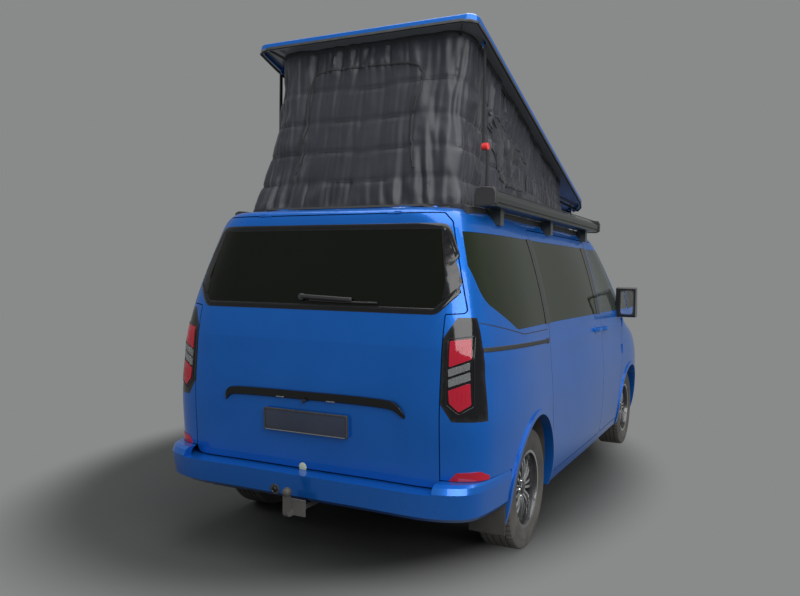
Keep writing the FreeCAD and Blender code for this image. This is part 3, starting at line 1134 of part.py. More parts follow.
def wheel(corner, sign, station):
    """A tyre and its rim at one corner; sign is 1 on the left."""
    turn = FreeCAD.Rotation(Vec(0, 0, 1), 0 if sign > 0 else 180)
    tyre = doc.addObject("PartDesign::Body", "tyre_" + corner)
    turned(tyre, "carcass_" + corner, TYRE_SECTION)
    rim = doc.addObject("PartDesign::Body", "rim_" + corner)
    turned(rim, "barrel_" + corner, RIM_SECTION)
    turned(rim, "hub_" + corner, HUB_SECTION)
    spoke_sketch = closed_sketch(rim, "spoke_outline_" + corner, "YZ_Plane", (
        ("hub_radius * 0.2", "hub_radius * 0.7"), ("hub_radius * 0.2 + spoke_width", "hub_radius * 0.7"),
        ("rim_radius * 0.2 + spoke_width * 1.1", "rim_radius * 0.955"),
        ("rim_radius * 0.2", "rim_radius * 0.96")))
    spoke = rim.newObject("PartDesign::Pad", "spoke_" + corner)
    spoke.Profile = spoke_sketch
    spoke_sketch.setExpression("AttachmentOffset.Base.z", cell("tyre_width * 0.44 - rim_dish * 1.15"))
    bind(spoke, Length="rim_dish * 0.7")
    doc.recompute()
    pattern = rim.newObject("PartDesign::MultiTransform", "spokes_" + corner)
    pattern.Originals = [spoke]
    again = rim.newObject("PartDesign::Mirrored", "pair_" + corner)
    again.MirrorPlane = (spoke_sketch, ["V_Axis"])
    polar = rim.newObject("PartDesign::PolarPattern", "round_" + corner)
    polar.Axis = (spoke_sketch, ["N_Axis"])
    polar.Angle = 360
    bind(polar, Occurrences="spoke_pairs")
    pattern.Transformations = [again, polar]
    rim.Tip = pattern
    for body in (tyre, rim):
        body.Placement = FreeCAD.Placement(Vec(), turn)
        bind(body, _at_x="%d * wheel_x" % sign, _at_y=station, _at_z="tyre_radius")
        keep(body, body.Name)
    doc.recompute()


for corner, sign, station in (("front_left", 1, "-front_axle_y"), ("front_right", -1, "-front_axle_y"),
                              ("rear_left", 1, "rear_axle_y"), ("rear_right", -1, "rear_axle_y")):
    wheel(corner, sign, station)

# Check every object and write each sub-part

doc.recompute()
broken = [thing.Name for thing in doc.Objects if "Invalid" in thing.State or "Error" in thing.State]
broken += [part.Label for part in parts if part.Shape.isNull() or not part.Shape.isValid()]
if broken:
    raise SystemExit("not built: " + ", ".join(broken))
os.makedirs("parts", exist_ok=True)
for part in parts:
    part.Shape.exportStep("parts/%s.step" % part.Label)
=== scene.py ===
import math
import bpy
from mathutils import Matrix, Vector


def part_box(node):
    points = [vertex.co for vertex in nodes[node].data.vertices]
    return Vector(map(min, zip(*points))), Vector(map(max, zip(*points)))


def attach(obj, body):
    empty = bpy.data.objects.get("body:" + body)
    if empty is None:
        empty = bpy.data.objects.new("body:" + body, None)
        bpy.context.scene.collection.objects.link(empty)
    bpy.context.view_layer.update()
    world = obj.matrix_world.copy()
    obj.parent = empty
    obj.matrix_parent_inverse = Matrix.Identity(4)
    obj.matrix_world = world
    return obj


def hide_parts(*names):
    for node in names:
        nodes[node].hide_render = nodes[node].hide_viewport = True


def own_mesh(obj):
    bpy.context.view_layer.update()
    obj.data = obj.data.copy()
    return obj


bl_info = {
    "name": "Camper Van",
    "version": (1, 0, 0),
    "blender": (4, 5, 0),
    "location": "3D View > Sidebar > Camper Van",
    "description": "Dresses the camper van's frame with its cloth, wheels, lamps, trim and interior",
    "category": "Object",
}

import bmesh
import bpy
from bpy.props import FloatProperty, FloatVectorProperty, IntProperty, PointerProperty
from mathutils import Matrix, Vector, noise
from mathutils.bvhtree import BVHTree
from mathutils.geometry import delaunay_2d_cdt

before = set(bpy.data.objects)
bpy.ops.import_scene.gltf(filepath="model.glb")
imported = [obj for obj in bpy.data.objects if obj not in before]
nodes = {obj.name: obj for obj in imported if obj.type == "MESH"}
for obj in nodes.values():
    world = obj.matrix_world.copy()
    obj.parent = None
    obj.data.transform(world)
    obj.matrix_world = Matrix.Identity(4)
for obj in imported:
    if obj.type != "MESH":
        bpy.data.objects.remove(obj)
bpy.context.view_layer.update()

# Property helpers


def metres(name, description, default, high=10.0):
    return FloatProperty(name=name, description=description, default=default, min=-high, max=high,
                         precision=4, unit="LENGTH")


def number(name, description, default, low=1, high=400):
    return IntProperty(name=name, description=description, default=default, min=low, max=high)


def colour(name, description, default):
    return FloatVectorProperty(name=name, description=description, default=default, size=3, min=0.0,
                               max=1.0, subtype="COLOR")


class VanColours(bpy.types.PropertyGroup):
    paint: colour("Paint", "Body paint", (0.0, 0.105, 0.45))
    tint: colour("Privacy glass", "Tint of the side glass; the rear is darker", (0.028, 0.040, 0.018))
    screen: colour("Front glass", "Tint of the windscreen and front door glass", (0.10, 0.125, 0.112))
    cloth: colour("Tent cloth", "Charcoal cloth of the tent", (0.0125, 0.0135, 0.019))
    trim: colour("Trim", "Grained black plastic", (0.016, 0.016, 0.017))
    casing: colour("Awning case", "Powder coat of the awning case", (0.030, 0.036, 0.034))
    lining: colour("Roof lining", "Inside of the pop-up roof's shell", (0.27, 0.28, 0.29))
    red: colour("Lamp red", "Red lenses", (0.44, 0.010, 0.03))
    seat: colour("Seat cloth", "Cloth of the seats and the bench", (0.055, 0.057, 0.062))
    cabinet: colour("Cabinets", "Laminate of the kitchen unit", (0.50, 0.49, 0.46))
    floor: colour("Studio floor", "Floor and backdrop", (0.250, 0.258, 0.254))


class TentSizes(bpy.types.PropertyGroup):
    foot_half: metres("Half width at foot", "Centre plane to the tent's foot", 0.700)
    foot_front: metres("Front foot", "Tent's front foot along Y", -0.560)
    foot_rear: metres("Rear foot", "Tent's rear foot along Y", 1.975)
    foot_z: metres("Foot height", "Height of the tent's foot", 1.945)
    middle_half: metres("Half width at half height", "Centre plane to the tent's waist", 0.6515)
    top_half: metres("Half width at top", "Centre plane to the tent's top", 0.655)
    top_front: metres("Front top", "Tent's top front edge behind the shell's tip", 0.565)
    top_rear: metres("Rear top", "Tent's top rear edge behind the shell's tip", 2.775)
    corner: metres("Foot corner", "Rounding of the tent's corners at its foot", 0.070)
    waist_corner: metres("Waist corner", "Rounding of the tent's corners at half height", 0.210)
    stay_clear: metres("Stay clearance", "Widest that the cloth may stand, inside the folded stays", 0.6965)
    fold: metres("Wrinkle depth", "Depth of the hanging wrinkles", 0.017)
    across: number("Columns", "Cloth columns round the tent", 640, 60, 900)
    up: number("Rows", "Cloth rows from foot to top", 60, 10, 200)


class WheelSizes(bpy.types.PropertyGroup):
    radius: metres("Tyre radius", "Tread radius", 0.345)
    rim: metres("Rim radius", "Bead seat radius", 0.216)
    width: metres("Tyre width", "Section width", 0.215)
    spokes: number("Spoke pairs", "Pairs of spokes in a wheel", 8, 3, 16)
    blocks: number("Tread blocks", "Tread blocks round a shoulder", 60, 20, 90)
    groove: metres("Groove depth", "Depth of the tread grooves", 0.007)


class TrimSizes(bpy.types.PropertyGroup):
    seal: metres("Seal width", "Width of the window seals", 0.014)
    bar_z: metres("Handle bar height", "Height of the tailgate's handle bar", 0.900)
    plate_wide: metres("Plate width", "Width of the blank plate", 0.520)
    plate_tall: metres("Plate height", "Height of the blank plate", 0.112)
    rail_z: metres("Rail height", "Height of the sliding door's rail", 1.195)


class StageSizes(bpy.types.PropertyGroup):
    lens: FloatProperty(name="Lens", description="Focal length of the camera in millimetres", default=33.6,
                        min=10, max=200)
    reach: metres("Stage size", "Half size of the floor", 14.0, 60.0)
    key: FloatProperty(name="Key light", description="Power of the light behind the camera", default=420.0,
                       min=0, max=5000)
    sky: FloatProperty(name="Sky light", description="Power of the large light above", default=640.0,
                       min=0, max=5000)


# Node groups that several finishes share

GROUPS = {}


def group(name, inputs, outputs):
    """A new shader group with named float inputs, and its inlet and outlet nodes."""
    tree = bpy.data.node_groups.new(name, "ShaderNodeTree")
    for label, value in inputs.items():
        socket = tree.interface.new_socket(label, in_out="INPUT", socket_type="NodeSocketFloat")
        socket.default_value = value
    for label, kind in outputs.items():
        tree.interface.new_socket(label, in_out="OUTPUT", socket_type="NodeSocket" + kind)
    inlet = tree.nodes.new("NodeGroupInput")
    outlet = tree.nodes.new("NodeGroupOutput")
    GROUPS[name] = tree
    return tree, inlet, outlet


def add(tree, kind, **values):
    node = tree.nodes.new(kind)
    for key, value in values.items():
        setattr(node, key, value)
    return node


def math_node(tree, operation, first, second=None, clamp=False):
    node = add(tree, "ShaderNodeMath", operation=operation, use_clamp=clamp)
    for index, item in enumerate((first, second)):
        if item is None:
            continue
        if isinstance(item, (int, float)):
            node.inputs[index].default_value = item
        else:
            tree.links.new(item, node.inputs[index])
    return node.outputs[0]


def textured(tree, kind, **values):
    """A node that reads the object's own coordinates."""
    node = add(tree, kind, **values)
    place = add(tree, "ShaderNodeTexCoord")
    tree.links.new(place.outputs["Object"], node.inputs["Vector"])
    return node


def dented(tree, inlet, outlet, height, distance):
    """The group's Normal: a bump of this height, as strong as its Depth."""
    dent = add(tree, "ShaderNodeBump")
    dent.inputs["Distance"].default_value = distance
    tree.links.new(inlet.outputs["Depth"], dent.inputs["Strength"])
    tree.links.new(height, dent.inputs["Height"])
    tree.links.new(dent.outputs["Normal"], outlet.inputs["Normal"])


def masked(tree, inlet, outlet, part, cloud):
    """The group's Mask: a part of the surface, broken up by cloud, as strong as its Amount."""
    broken = math_node(tree, "MULTIPLY", part, cloud.outputs["Fac"])
    mask = math_node(tree, "MULTIPLY", broken, inlet.outputs["Amount"], True)
    tree.links.new(mask, outlet.inputs["Mask"])


def build_groups():
    """Grain, soft wave, weave, dust, edge wear and flake, each built once."""
    # Moulded grain: fine cells that roughen and dent a plastic
    tree, inlet, outlet = group("Moulded grain", {"Scale": 900.0, "Depth": 0.3},
                                {"Normal": "Vector", "Cells": "Float"})
    cells = textured(tree, "ShaderNodeTexVoronoi", feature="SMOOTH_F1")
    tree.links.new(inlet.outputs["Scale"], cells.inputs["Scale"])
    tree.links.new(cells.outputs["Distance"], outlet.inputs["Cells"])
    dented(tree, inlet, outlet, cells.outputs["Distance"], 0.0006)

    # Soft waviness of a sprayed or pressed surface
    tree, inlet, outlet = group("Soft wave", {"Scale": 40.0, "Depth": 0.05},
                                {"Normal": "Vector", "Cloud": "Float"})
    cloud = textured(tree, "ShaderNodeTexNoise")
    cloud.inputs["Detail"].default_value = 3.0
    tree.links.new(inlet.outputs["Scale"], cloud.inputs["Scale"])
    tree.links.new(cloud.outputs["Fac"], outlet.inputs["Cloud"])
    dented(tree, inlet, outlet, cloud.outputs["Fac"], 0.001)

    # Plain weave: threads crossed in all three planes
    tree, inlet, outlet = group("Plain weave", {"Scale": 700.0, "Depth": 0.5},
                                {"Normal": "Vector", "Thread": "Float"})
    waves = []
    for direction in ("X", "Z", "Y"):
        wave = textured(tree, "ShaderNodeTexWave", wave_type="BANDS", bands_direction=direction)
        wave.inputs["Distortion"].default_value = 0.6
        wave.inputs["Detail"].default_value = 1.0
        tree.links.new(inlet.outputs["Scale"], wave.inputs["Scale"])
        waves.append(wave.outputs["Fac"])
    high = math_node(tree, "MAXIMUM", math_node(tree, "MAXIMUM", waves[0], waves[2]), waves[1])
    tree.links.new(high, outlet.inputs["Thread"])
    dented(tree, inlet, outlet, high, 0.0008)

    # Road dust: more of it low down, broken up by cloud
    tree, inlet, outlet = group("Road dust", {"Top": 0.9, "Amount": 0.35}, {"Mask": "Float"})
    parts = textured(tree, "ShaderNodeSeparateXYZ")
    cloud = textured(tree, "ShaderNodeTexNoise")
    cloud.inputs["Scale"].default_value = 9.0
    cloud.inputs["Detail"].default_value = 6.0
    share = math_node(tree, "DIVIDE", parts.outputs["Z"], inlet.outputs["Top"])
    masked(tree, inlet, outlet, math_node(tree, "SUBTRACT", 1.0, share, True), cloud)

    # Edge wear: convex edges rubbed brighter
    tree, inlet, outlet = group("Edge wear", {"Sharpness": 12.0, "Amount": 0.5}, {"Mask": "Float"})
    shape = add(tree, "ShaderNodeNewGeometry")
    cloud = add(tree, "ShaderNodeTexNoise")
    cloud.inputs["Scale"].default_value = 35.0
    cloud.inputs["Detail"].default_value = 5.0
    point = math_node(tree, "SUBTRACT", shape.outputs["Pointiness"], 0.52)
    masked(tree, inlet, outlet, math_node(tree, "MULTIPLY", point, inlet.outputs["Sharpness"], True), cloud)

    # Metal flake: tiny bright and dark specks under a clear coat
    tree, inlet, outlet = group("Metal flake", {"Scale": 2600.0, "Amount": 0.25}, {"Fleck": "Float"})
    cells = textured(tree, "ShaderNodeTexVoronoi", feature="F1")
    tree.links.new(inlet.outputs["Scale"], cells.inputs["Scale"])
    parts = add(tree, "ShaderNodeSeparateXYZ")
    tree.links.new(cells.outputs["Color"], parts.inputs["Vector"])
    fleck = math_node(tree, "MULTIPLY", parts.outputs["X"], inlet.outputs["Amount"])
    tree.links.new(fleck, outlet.inputs["Fleck"])


FINISHES = {}


def place_group(tree, name, **values):
    node = add(tree, "ShaderNodeGroup", node_tree=GROUPS[name])
    for key, value in values.items():
        node.inputs[key].default_value = value
    return node


def mixed(tree, mask, first, second):
    """A colour between two, by a mask."""
    node = add(tree, "ShaderNodeMix", data_type="RGBA")
    tree.links.new(mask, node.inputs["Factor"])
    for socket, value in ((node.inputs[6], first), (node.inputs[7], second)):
        if isinstance(value, (tuple, list)):
            socket.default_value = (*value, 1.0)
        else:
            tree.links.new(value, socket)
    return node.outputs[2]


def between(tree, mask, low, high):
    """A number between two, by a mask."""
    node = add(tree, "ShaderNodeMapRange", clamp=True)
    tree.links.new(mask, node.inputs["Value"])
    node.inputs["To Min"].default_value = low
    node.inputs["To Max"].default_value = high
    return node.outputs["Result"]


def material(name, **plain):
    """A finish with a Principled BSDF whose plain sockets are set directly."""
    made = bpy.data.materials.new(name)
    made.use_nodes = True
    tree = made.node_tree
    shader = tree.nodes["Principled BSDF"]
    for key, value in plain.items():
        socket = shader.inputs[key.replace("_", " ")]
        socket.default_value = (*value, 1.0) if isinstance(value, (tuple, list)) else value
    FINISHES[name] = made
    return tree, shader


def tuned(base, gain):
    return tuple(min(1.0, channel * gain) for channel in base)


def plastic(name, base, rough, scale, depth, dusty=0.0, **plain):
    """Moulded plastic or rubber: grain, cloudy roughness, rubbed edges and some dust."""
    tree, shader = material(name, Metallic=0.0, **plain)
    grain = place_group(tree, "Moulded grain", Scale=scale, Depth=depth)
    cloud = place_group(tree, "Soft wave", Scale=14.0, Depth=0.0)
    wear = place_group(tree, "Edge wear", Sharpness=10.0, Amount=0.5)
    dust = place_group(tree, "Road dust", Top=1.0, Amount=dusty)
    shade = mixed(tree, cloud.outputs["Cloud"], tuned(base, 0.82), tuned(base, 1.2))
    worn = mixed(tree, wear.outputs["Mask"], shade, tuned([c + 0.02 for c in base], 2.2))
    dusted = mixed(tree, dust.outputs["Mask"], worn, (0.22, 0.20, 0.175))
    tree.links.new(dusted, shader.inputs["Base Color"])
    tree.links.new(between(tree, cloud.outputs["Cloud"], rough * 0.86, min(1.0, rough * 1.16)),
                   shader.inputs["Roughness"])
    tree.links.new(grain.outputs["Normal"], shader.inputs["Normal"])
    return tree, shader


def metal(name, base, rough, scale, depth, metallic=1.0, dusty=0.0, **plain):
    """Bare, cast or coated metal with soft unevenness, edge wear and dust."""
    tree, shader = material(name, Metallic=metallic, **plain)
    wave = place_group(tree, "Soft wave", Scale=scale, Depth=depth)
    wear = place_group(tree, "Edge wear", Sharpness=14.0, Amount=0.7)
    dust = place_group(tree, "Road dust", Top=0.9, Amount=dusty)
    shade = mixed(tree, wave.outputs["Cloud"], tuned(base, 0.8), tuned(base, 1.2))
    worn = mixed(tree, wear.outputs["Mask"], shade, tuned([c + 0.04 for c in base], 1.8))
    dusted = mixed(tree, dust.outputs["Mask"], worn, (0.20, 0.18, 0.155))
    tree.links.new(dusted, shader.inputs["Base Color"])
    tree.links.new(between(tree, wave.outputs["Cloud"], rough * 0.8, min(1.0, rough * 1.25)),
                   shader.inputs["Roughness"])
    tree.links.new(wave.outputs["Normal"], shader.inputs["Normal"])
    return tree, shader


def cloth(name, base, scale, depth, sheen, rough=0.85):
    """Woven cloth with thread, sheen and slow fading."""
    tree, shader = material(name, Metallic=0.0)
    weave = place_group(tree, "Plain weave", Scale=scale, Depth=depth)
    cloud = place_group(tree, "Soft wave", Scale=5.0, Depth=0.0)
    thread = mixed(tree, weave.outputs["Thread"], tuned(base, 0.62), tuned(base, 1.25))
    faded = mixed(tree, cloud.outputs["Cloud"], thread, tuned(base, 1.35))
    tree.links.new(faded, shader.inputs["Base Color"])
    tree.links.new(between(tree, cloud.outputs["Cloud"], rough - 0.12, min(1.0, rough + 0.08)),
                   shader.inputs["Roughness"])
    tree.links.new(weave.outputs["Normal"], shader.inputs["Normal"])
    shader.inputs["Sheen Weight"].default_value = sheen
    shader.inputs["Sheen Roughness"].default_value = 0.45
    return tree, shader


def glass(name, base, rough, through, **plain):
    """Automotive or lens glass: tint, a faint smear in its gloss, and its depth of colour."""
    tree, shader = material(name, Metallic=0.0, Transmission_Weight=through, IOR=1.5, **plain)
    cloud = place_group(tree, "Soft wave", Scale=6.0, Depth=0.004)
    tree.links.new(mixed(tree, cloud.outputs["Cloud"], tuned(base, 0.9), tuned(base, 1.1)),
                   shader.inputs["Base Color"])
    tree.links.new(between(tree, cloud.outputs["Cloud"], rough * 0.5, rough * 1.6),
                   shader.inputs["Roughness"])
    return tree, shader


def paint(name, base, second=None):
    """Metallic car paint under clear coat; a second colour goes where the form faces down or in."""
    tree, shader = material(name, Metallic=0.5, Coat_Weight=0.5, Coat_Roughness=0.04, Coat_IOR=1.5,
                            Specular_IOR_Level=0.2)
    fleck = place_group(tree, "Metal flake", Scale=2600.0, Amount=0.30)
    peel = place_group(tree, "Soft wave", Scale=260.0, Depth=0.035)
    cloud = place_group(tree, "Soft wave", Scale=3.0, Depth=0.0)
    dust = place_group(tree, "Road dust", Top=0.75, Amount=0.10)
    flaked = mixed(tree, fleck.outputs["Fleck"], base, tuned([c + 0.03 for c in base], 1.5))
    toned = mixed(tree, cloud.outputs["Cloud"], flaked, tuned(base, 0.9))
    dusted = mixed(tree, dust.outputs["Mask"], toned, (0.20, 0.19, 0.17))
    tree.links.new(dusted, shader.inputs["Base Color"])
    tree.links.new(between(tree, fleck.outputs["Fleck"], 0.30, 0.42), shader.inputs["Roughness"])
    tree.links.new(peel.outputs["Normal"], shader.inputs["Normal"])
    if second:
        place = add(tree, "ShaderNodeTexCoord")
        parts = add(tree, "ShaderNodeSeparateXYZ")
        tree.links.new(place.outputs["Normal"], parts.inputs["Vector"])
        down = math_node(tree, "LESS_THAN", parts.outputs["Z"], -0.35)
        tree.links.new(mixed(tree, down, dusted, second), shader.inputs["Base Color"])
    return tree, shader


def build_finishes(tones):
    paint("Body paint", tuple(tones.paint))
    paint("Roof shell paint", tuple(tones.paint), tuple(tones.lining))
    glass("Privacy glass", tuned(tuple(tones.tint), 0.12), 0.03, 0.35, Specular_IOR_Level=0.16)
    glass("Side glass", tuned(tuple(tones.tint), 0.5), 0.03, 0.35, Specular_IOR_Level=0.2)
    glass("Front glass", tuple(tones.screen), 0.02, 0.75, Specular_IOR_Level=0.4)
    glass("Red lens", tuple(tones.red), 0.06, 0.25, Coat_Weight=0.2, Specular_IOR_Level=0.3)
    glass("Clear lens", (0.80, 0.83, 0.84), 0.03, 0.85)
    glass("Amber lens", (0.75, 0.22, 0.02), 0.05, 0.35, Coat_Weight=1.0)
    plastic("Gloss black", (0.004, 0.004, 0.005), 0.12, 900.0, 0.01, Coat_Weight=0.3,
            Specular_IOR_Level=0.25)
    plastic("Black trim", tuple(tones.trim), 0.52, 1100.0, 0.35, 0.5)
    plastic("Liner felt", (0.020, 0.020, 0.021), 0.92, 500.0, 0.8, 0.9)
    plastic("Seal rubber", (0.010, 0.010, 0.010), 0.62, 1400.0, 0.15, 0.3)
    plastic("Tyre rubber", (0.018, 0.018, 0.0185), 0.72, 800.0, 0.25, 0.55)
    plastic("Pale plastic", (0.30, 0.33, 0.24), 0.5, 900.0, 0.2)
    # The plate is black; its blue tint is a painted reflection of the blue body paint
    plastic("Plate black", (0.006, 0.013, 0.034), 0.24, 1500.0, 0.1, 0.3, Coat_Weight=0.3)
    plastic("Red grip", (0.55, 0.02, 0.02), 0.4, 900.0, 0.2)
    plastic("Dash plastic", (0.022, 0.022, 0.024), 0.62, 1300.0, 0.5)
    plastic("Worktop", (0.10, 0.10, 0.105), 0.42, 500.0, 0.1)
    plastic("Cabinet laminate", tuple(tones.cabinet), 0.42, 420.0, 0.08)
    plastic("Engine casing", (0.045, 0.045, 0.047), 0.55, 500.0, 0.4, 0.3)
    metal("Awning coat", tuple(tones.casing), 0.34, 300.0, 0.05, 0.5, Coat_Weight=0.2)
    metal("Underbody coat", (0.024, 0.025, 0.027), 0.62, 120.0, 0.3, 0.2, 0.8)
    metal("Cast metal", (0.20, 0.20, 0.20), 0.50, 220.0, 0.4, 1.0, 0.3)
    metal("Exhaust steel", (0.30, 0.28, 0.26), 0.38, 60.0, 0.15, 1.0, 0.6)
    metal("Bright steel", (0.72, 0.72, 0.72), 0.16, 60.0, 0.03, 1.0)
    metal("Lamp silver", (0.85, 0.85, 0.86), 0.10, 40.0, 0.02, 1.0)
    metal("Rail silver", (0.55, 0.56, 0.57), 0.26, 200.0, 0.05, 1.0)
    metal("Dark alloy", (0.040, 0.042, 0.046), 0.30, 160.0, 0.05, 0.7, 0.2, Coat_Weight=0.6)
    metal("Machined alloy", (0.62, 0.63, 0.65), 0.20, 300.0, 0.05, 1.0, 0.1, Coat_Weight=0.5)
    metal("Stay black", (0.020, 0.020, 0.021), 0.36, 200.0, 0.06, 0.5)
    metal("Mirror silver", (0.86, 0.88, 0.90), 0.02, 20.0, 0.0, 1.0)
    cloth("Tent cloth", tuple(tones.cloth), 520.0, 0.25, 0.10, 0.50)
    cloth("Tent mesh", tuned(tuple(tones.cloth), 0.62), 300.0, 0.8, 0.1, 0.8)
    cloth("Tent binding", tuned(tuple(tones.cloth), 0.5), 700.0, 0.5, 0.1, 0.7)
    cloth("Seat cloth", tuple(tones.seat), 420.0, 0.7, 0.35)
    cloth("Seat edge", tuned(tuple(tones.seat), 0.5), 300.0, 0.3, 0.1, 0.5)


NODE_FINISH = {
    "Body paint": ("tailgate", "bonnet", "front_door_left", "front_door_right", "roof_panel",
                   "body_side_left",
                   "body_side_right", "sliding_door", "front_bumper", "rear_bumper"),
    "Privacy glass": ("tailgate_glass",),
    "Side glass": ("side_glass",),
    "Front glass": ("windscreen", "front_door_glass_left", "front_door_glass_right"),
    "Gloss black": ("mirror_left", "mirror_right", "tail_lamps", "headlamps"),
    "Black trim": ("grille", "roof_rails"),
    "Liner felt": ("wheel_liners",),
    "Underbody coat": ("floor_pan", "bulkhead", "front_subframe", "rear_axle", "tow_bar"),
    "Cast metal": ("knuckle_left", "knuckle_right"),
    "Engine casing": ("engine_block",),
    "Exhaust steel": ("exhaust",),
    "Roof shell paint": ("pop_roof",),
    "Stay black": ("roof_arms", "stay_lower", "stay_upper"),
    "Awning coat": ("awning",),
    "Dash plastic": ("dashboard",),
    "Seat cloth": ("front_seats", "rear_bench"),
    "Cabinet laminate": ("kitchen_unit",),
    "Tent cloth": ("tent_fabric",),
    "Tyre rubber": ("tyre_front_left", "tyre_front_right", "tyre_rear_left", "tyre_rear_right"),
    "Dark alloy": ("rim_front_left", "rim_front_right", "rim_rear_left", "rim_rear_right"),
}


def dress_nodes():
    for finish, names in NODE_FINISH.items():
        for name in names:
            mesh = nodes[name].data
            mesh.materials.clear()
            mesh.materials.append(FINISHES[finish])


# Mesh helpers

BEVEL_FROM = 35
HANDS = (("left", 1), ("right", -1))


def piece(name, form, finish, body="van", bevel=0.0, edge_angle=40):
    """A mesh object of (verts, faces), on its body; finish may be a list of several.
    """
    mesh = bpy.data.meshes.new(name)
    mesh.from_pydata([tuple(v) for v in form[0]], [], form[1])
    mesh.validate()
    made = bpy.data.objects.new(name, mesh)
    bpy.context.scene.collection.objects.link(made)
    finishes = finish if isinstance(finish, list) else [finish]
    for item in finishes:
        mesh.materials.append(FINISHES[item])
    solid = bmesh.new()
    solid.from_mesh(mesh)
    bmesh.ops.recalc_face_normals(solid, faces=solid.faces)
    limit = math.radians(edge_angle)
    for edge in solid.edges:
        edge.smooth = not (len(edge.link_faces) == 2 and edge.calc_face_angle(0) > limit)
    for face in solid.faces:
        face.smooth = True
    solid.to_mesh(mesh)
    solid.free()
    if bevel:
        round_off = made.modifiers.new("Rounded edges", "BEVEL")
        round_off.width = bevel
        round_off.segments = 2
        round_off.limit_method = "ANGLE"
        round_off.angle_limit = math.radians(BEVEL_FROM)
        round_off.harden_normals = False
    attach(made, body)
    return made


def tube(verts, count, closed=False, caps=True):
    """Rings of count points joined into a form, with end caps where it is open."""
    faces = []
    rings = len(verts) // count
    for ring in range(rings if closed else rings - 1):
        here, after = ring * count, (ring + 1) % rings * count
        for n in range(count):
            m = (n + 1) % count
            faces.append([here + n, here + m, after + m, after + n])
    if caps and not closed:
        faces.append(list(range(count))[::-1])
        faces.append([(rings - 1) * count + n for n in range(count)])
    return verts, faces


def joined(parts):
    """Several (verts, faces) as one."""
    verts, faces = [], []
    for some_verts, some_faces in parts:
        base = len(verts)
        verts += list(some_verts)
        faces += [[base + index for index in face] for face in some_faces]
    return verts, faces


def moved(form, matrix):
    return [matrix @ Vector(v) for v in form[0]], form[1]


def lathe(profile, centre=(0, 0, 0), axis="x", steps=48):
    """A form turned about an axis from a closed line of (along, radius) points."""
    verts = []
    for step in range(steps):
        angle = math.tau * step / steps
        for along, radius in profile:
            a, b = radius * math.cos(angle), radius * math.sin(angle)
            spot = {"x": (along, a, b), "y": (b, along, a), "z": (a, b, along)}[axis]
            verts.append(Vector(centre) + Vector(spot))
    return tube(verts, len(profile), closed=True)


def rounded_box(size, centre, radius, steps=3, turn=None):
    """A box with rounded edges and corners, its low edges as round as its high ones."""
    form = bmesh.new()
    bmesh.ops.create_cube(form, size=1.0)
    for vert in form.verts:
        vert.co = Vector((vert.co.x * size[0], vert.co.y * size[1], vert.co.z * size[2]))
    bmesh.ops.bevel(form, geom=list(form.edges), offset=radius, segments=steps, profile=0.5, affect="EDGES")
    place = Matrix.Translation(centre) @ (turn if turn else Matrix.Identity(4))
    verts = [place @ vert.co for vert in form.verts]
    faces = [[vert.index for vert in face.verts] for face in form.faces]
    form.free()
    return verts, faces


def sweep(points, ups, section, closed=False):
    """A section of (side, up) points carried along a path, with one up direction or one for each point."""
    verts = []
    total = len(points)
    for index, point in enumerate(points):
        before = points[index - 1] if index or closed else point
        after = points[(index + 1) % total] if index < total - 1 or closed else point
        along = (Vector(after) - Vector(before)).normalized()
        up = Vector(ups[index] if isinstance(ups, list) else ups)
        side = along.cross(up).normalized()
        up = side.cross(along).normalized()
        verts += [Vector(point) + side * a + up * b for a, b in section]
    return tube(verts, len(section), closed)


def round_section(radius, steps=10):
    angles = [math.tau * n / steps for n in range(steps)]
    return [(radius * math.cos(angle), radius * math.sin(angle)) for angle in angles]


def smooth_path(points, steps):
    """A Catmull-Rom line through points."""
    points = [Vector(p) for p in points]
    line = []
    for index in range(len(points) - 1):
        a, b, c, d = [points[min(max(index + k, 0), len(points) - 1)] for k in (-1, 0, 1, 2)]
        square, cube = 2 * a - 5 * b + 4 * c - d, 3 * b - a - 3 * c + d
        for step in range(steps):
            t = step / steps
            line.append(0.5 * ((2 * b) + (c - a) * t + square * t * t + cube * t ** 3))
    return line + [points[-1]]


def outline(corners, steps=5):
    """A flat closed line with rounded corners, from (a, b, radius) corners."""
    line = []
    total = len(corners)
    for index, (a, b, radius) in enumerate(corners):
        here = Vector((a, b))
        before = Vector(corners[index - 1][:2]) - here
        after = Vector(corners[(index + 1) % total][:2]) - here
        half = before.angle(after) / 2
        cut = min(radius / max(math.tan(half), 1e-6), before.length * 0.48,
                  after.length * 0.48) if radius else 0.0
        if cut <= 1e-6:
            line.append(here)
            continue
        start, end = here + before.normalized() * cut, here + after.normalized() * cut
        for step in range(steps + 1):
            t = step / steps
            line.append(start.lerp(here, t).lerp(here.lerp(end, t), t))
    return line


def flip_x(corners):
    return [(-a, b, radius) for a, b, radius in reversed(corners)]


def on_side(corners, sign):
    """The corners of a shape on the left side, or their mirror image on the right side."""
    return corners if sign > 0 else flip_x(corners)


def cut_up(line, step, closed=True):
    """A line cut into even short runs."""
    out = []
    for index in range(len(line) if closed else len(line) - 1):
        a, b = line[index], line[(index + 1) % len(line)]
        cuts = max(1, int((b - a).length / step))
        out += [a.lerp(b, n / cuts) for n in range(cuts)]
    return out if closed else out + [line[-1]]


SEAM_BRIDGE = 0.009
RAYS = {"+x": Vector((-1, 0, 0)), "-x": Vector((1, 0, 0)), "+y": Vector((0, -1, 0)),
        "-y": Vector((0, 1, 0)), "+z": Vector((0, 0, -1))}


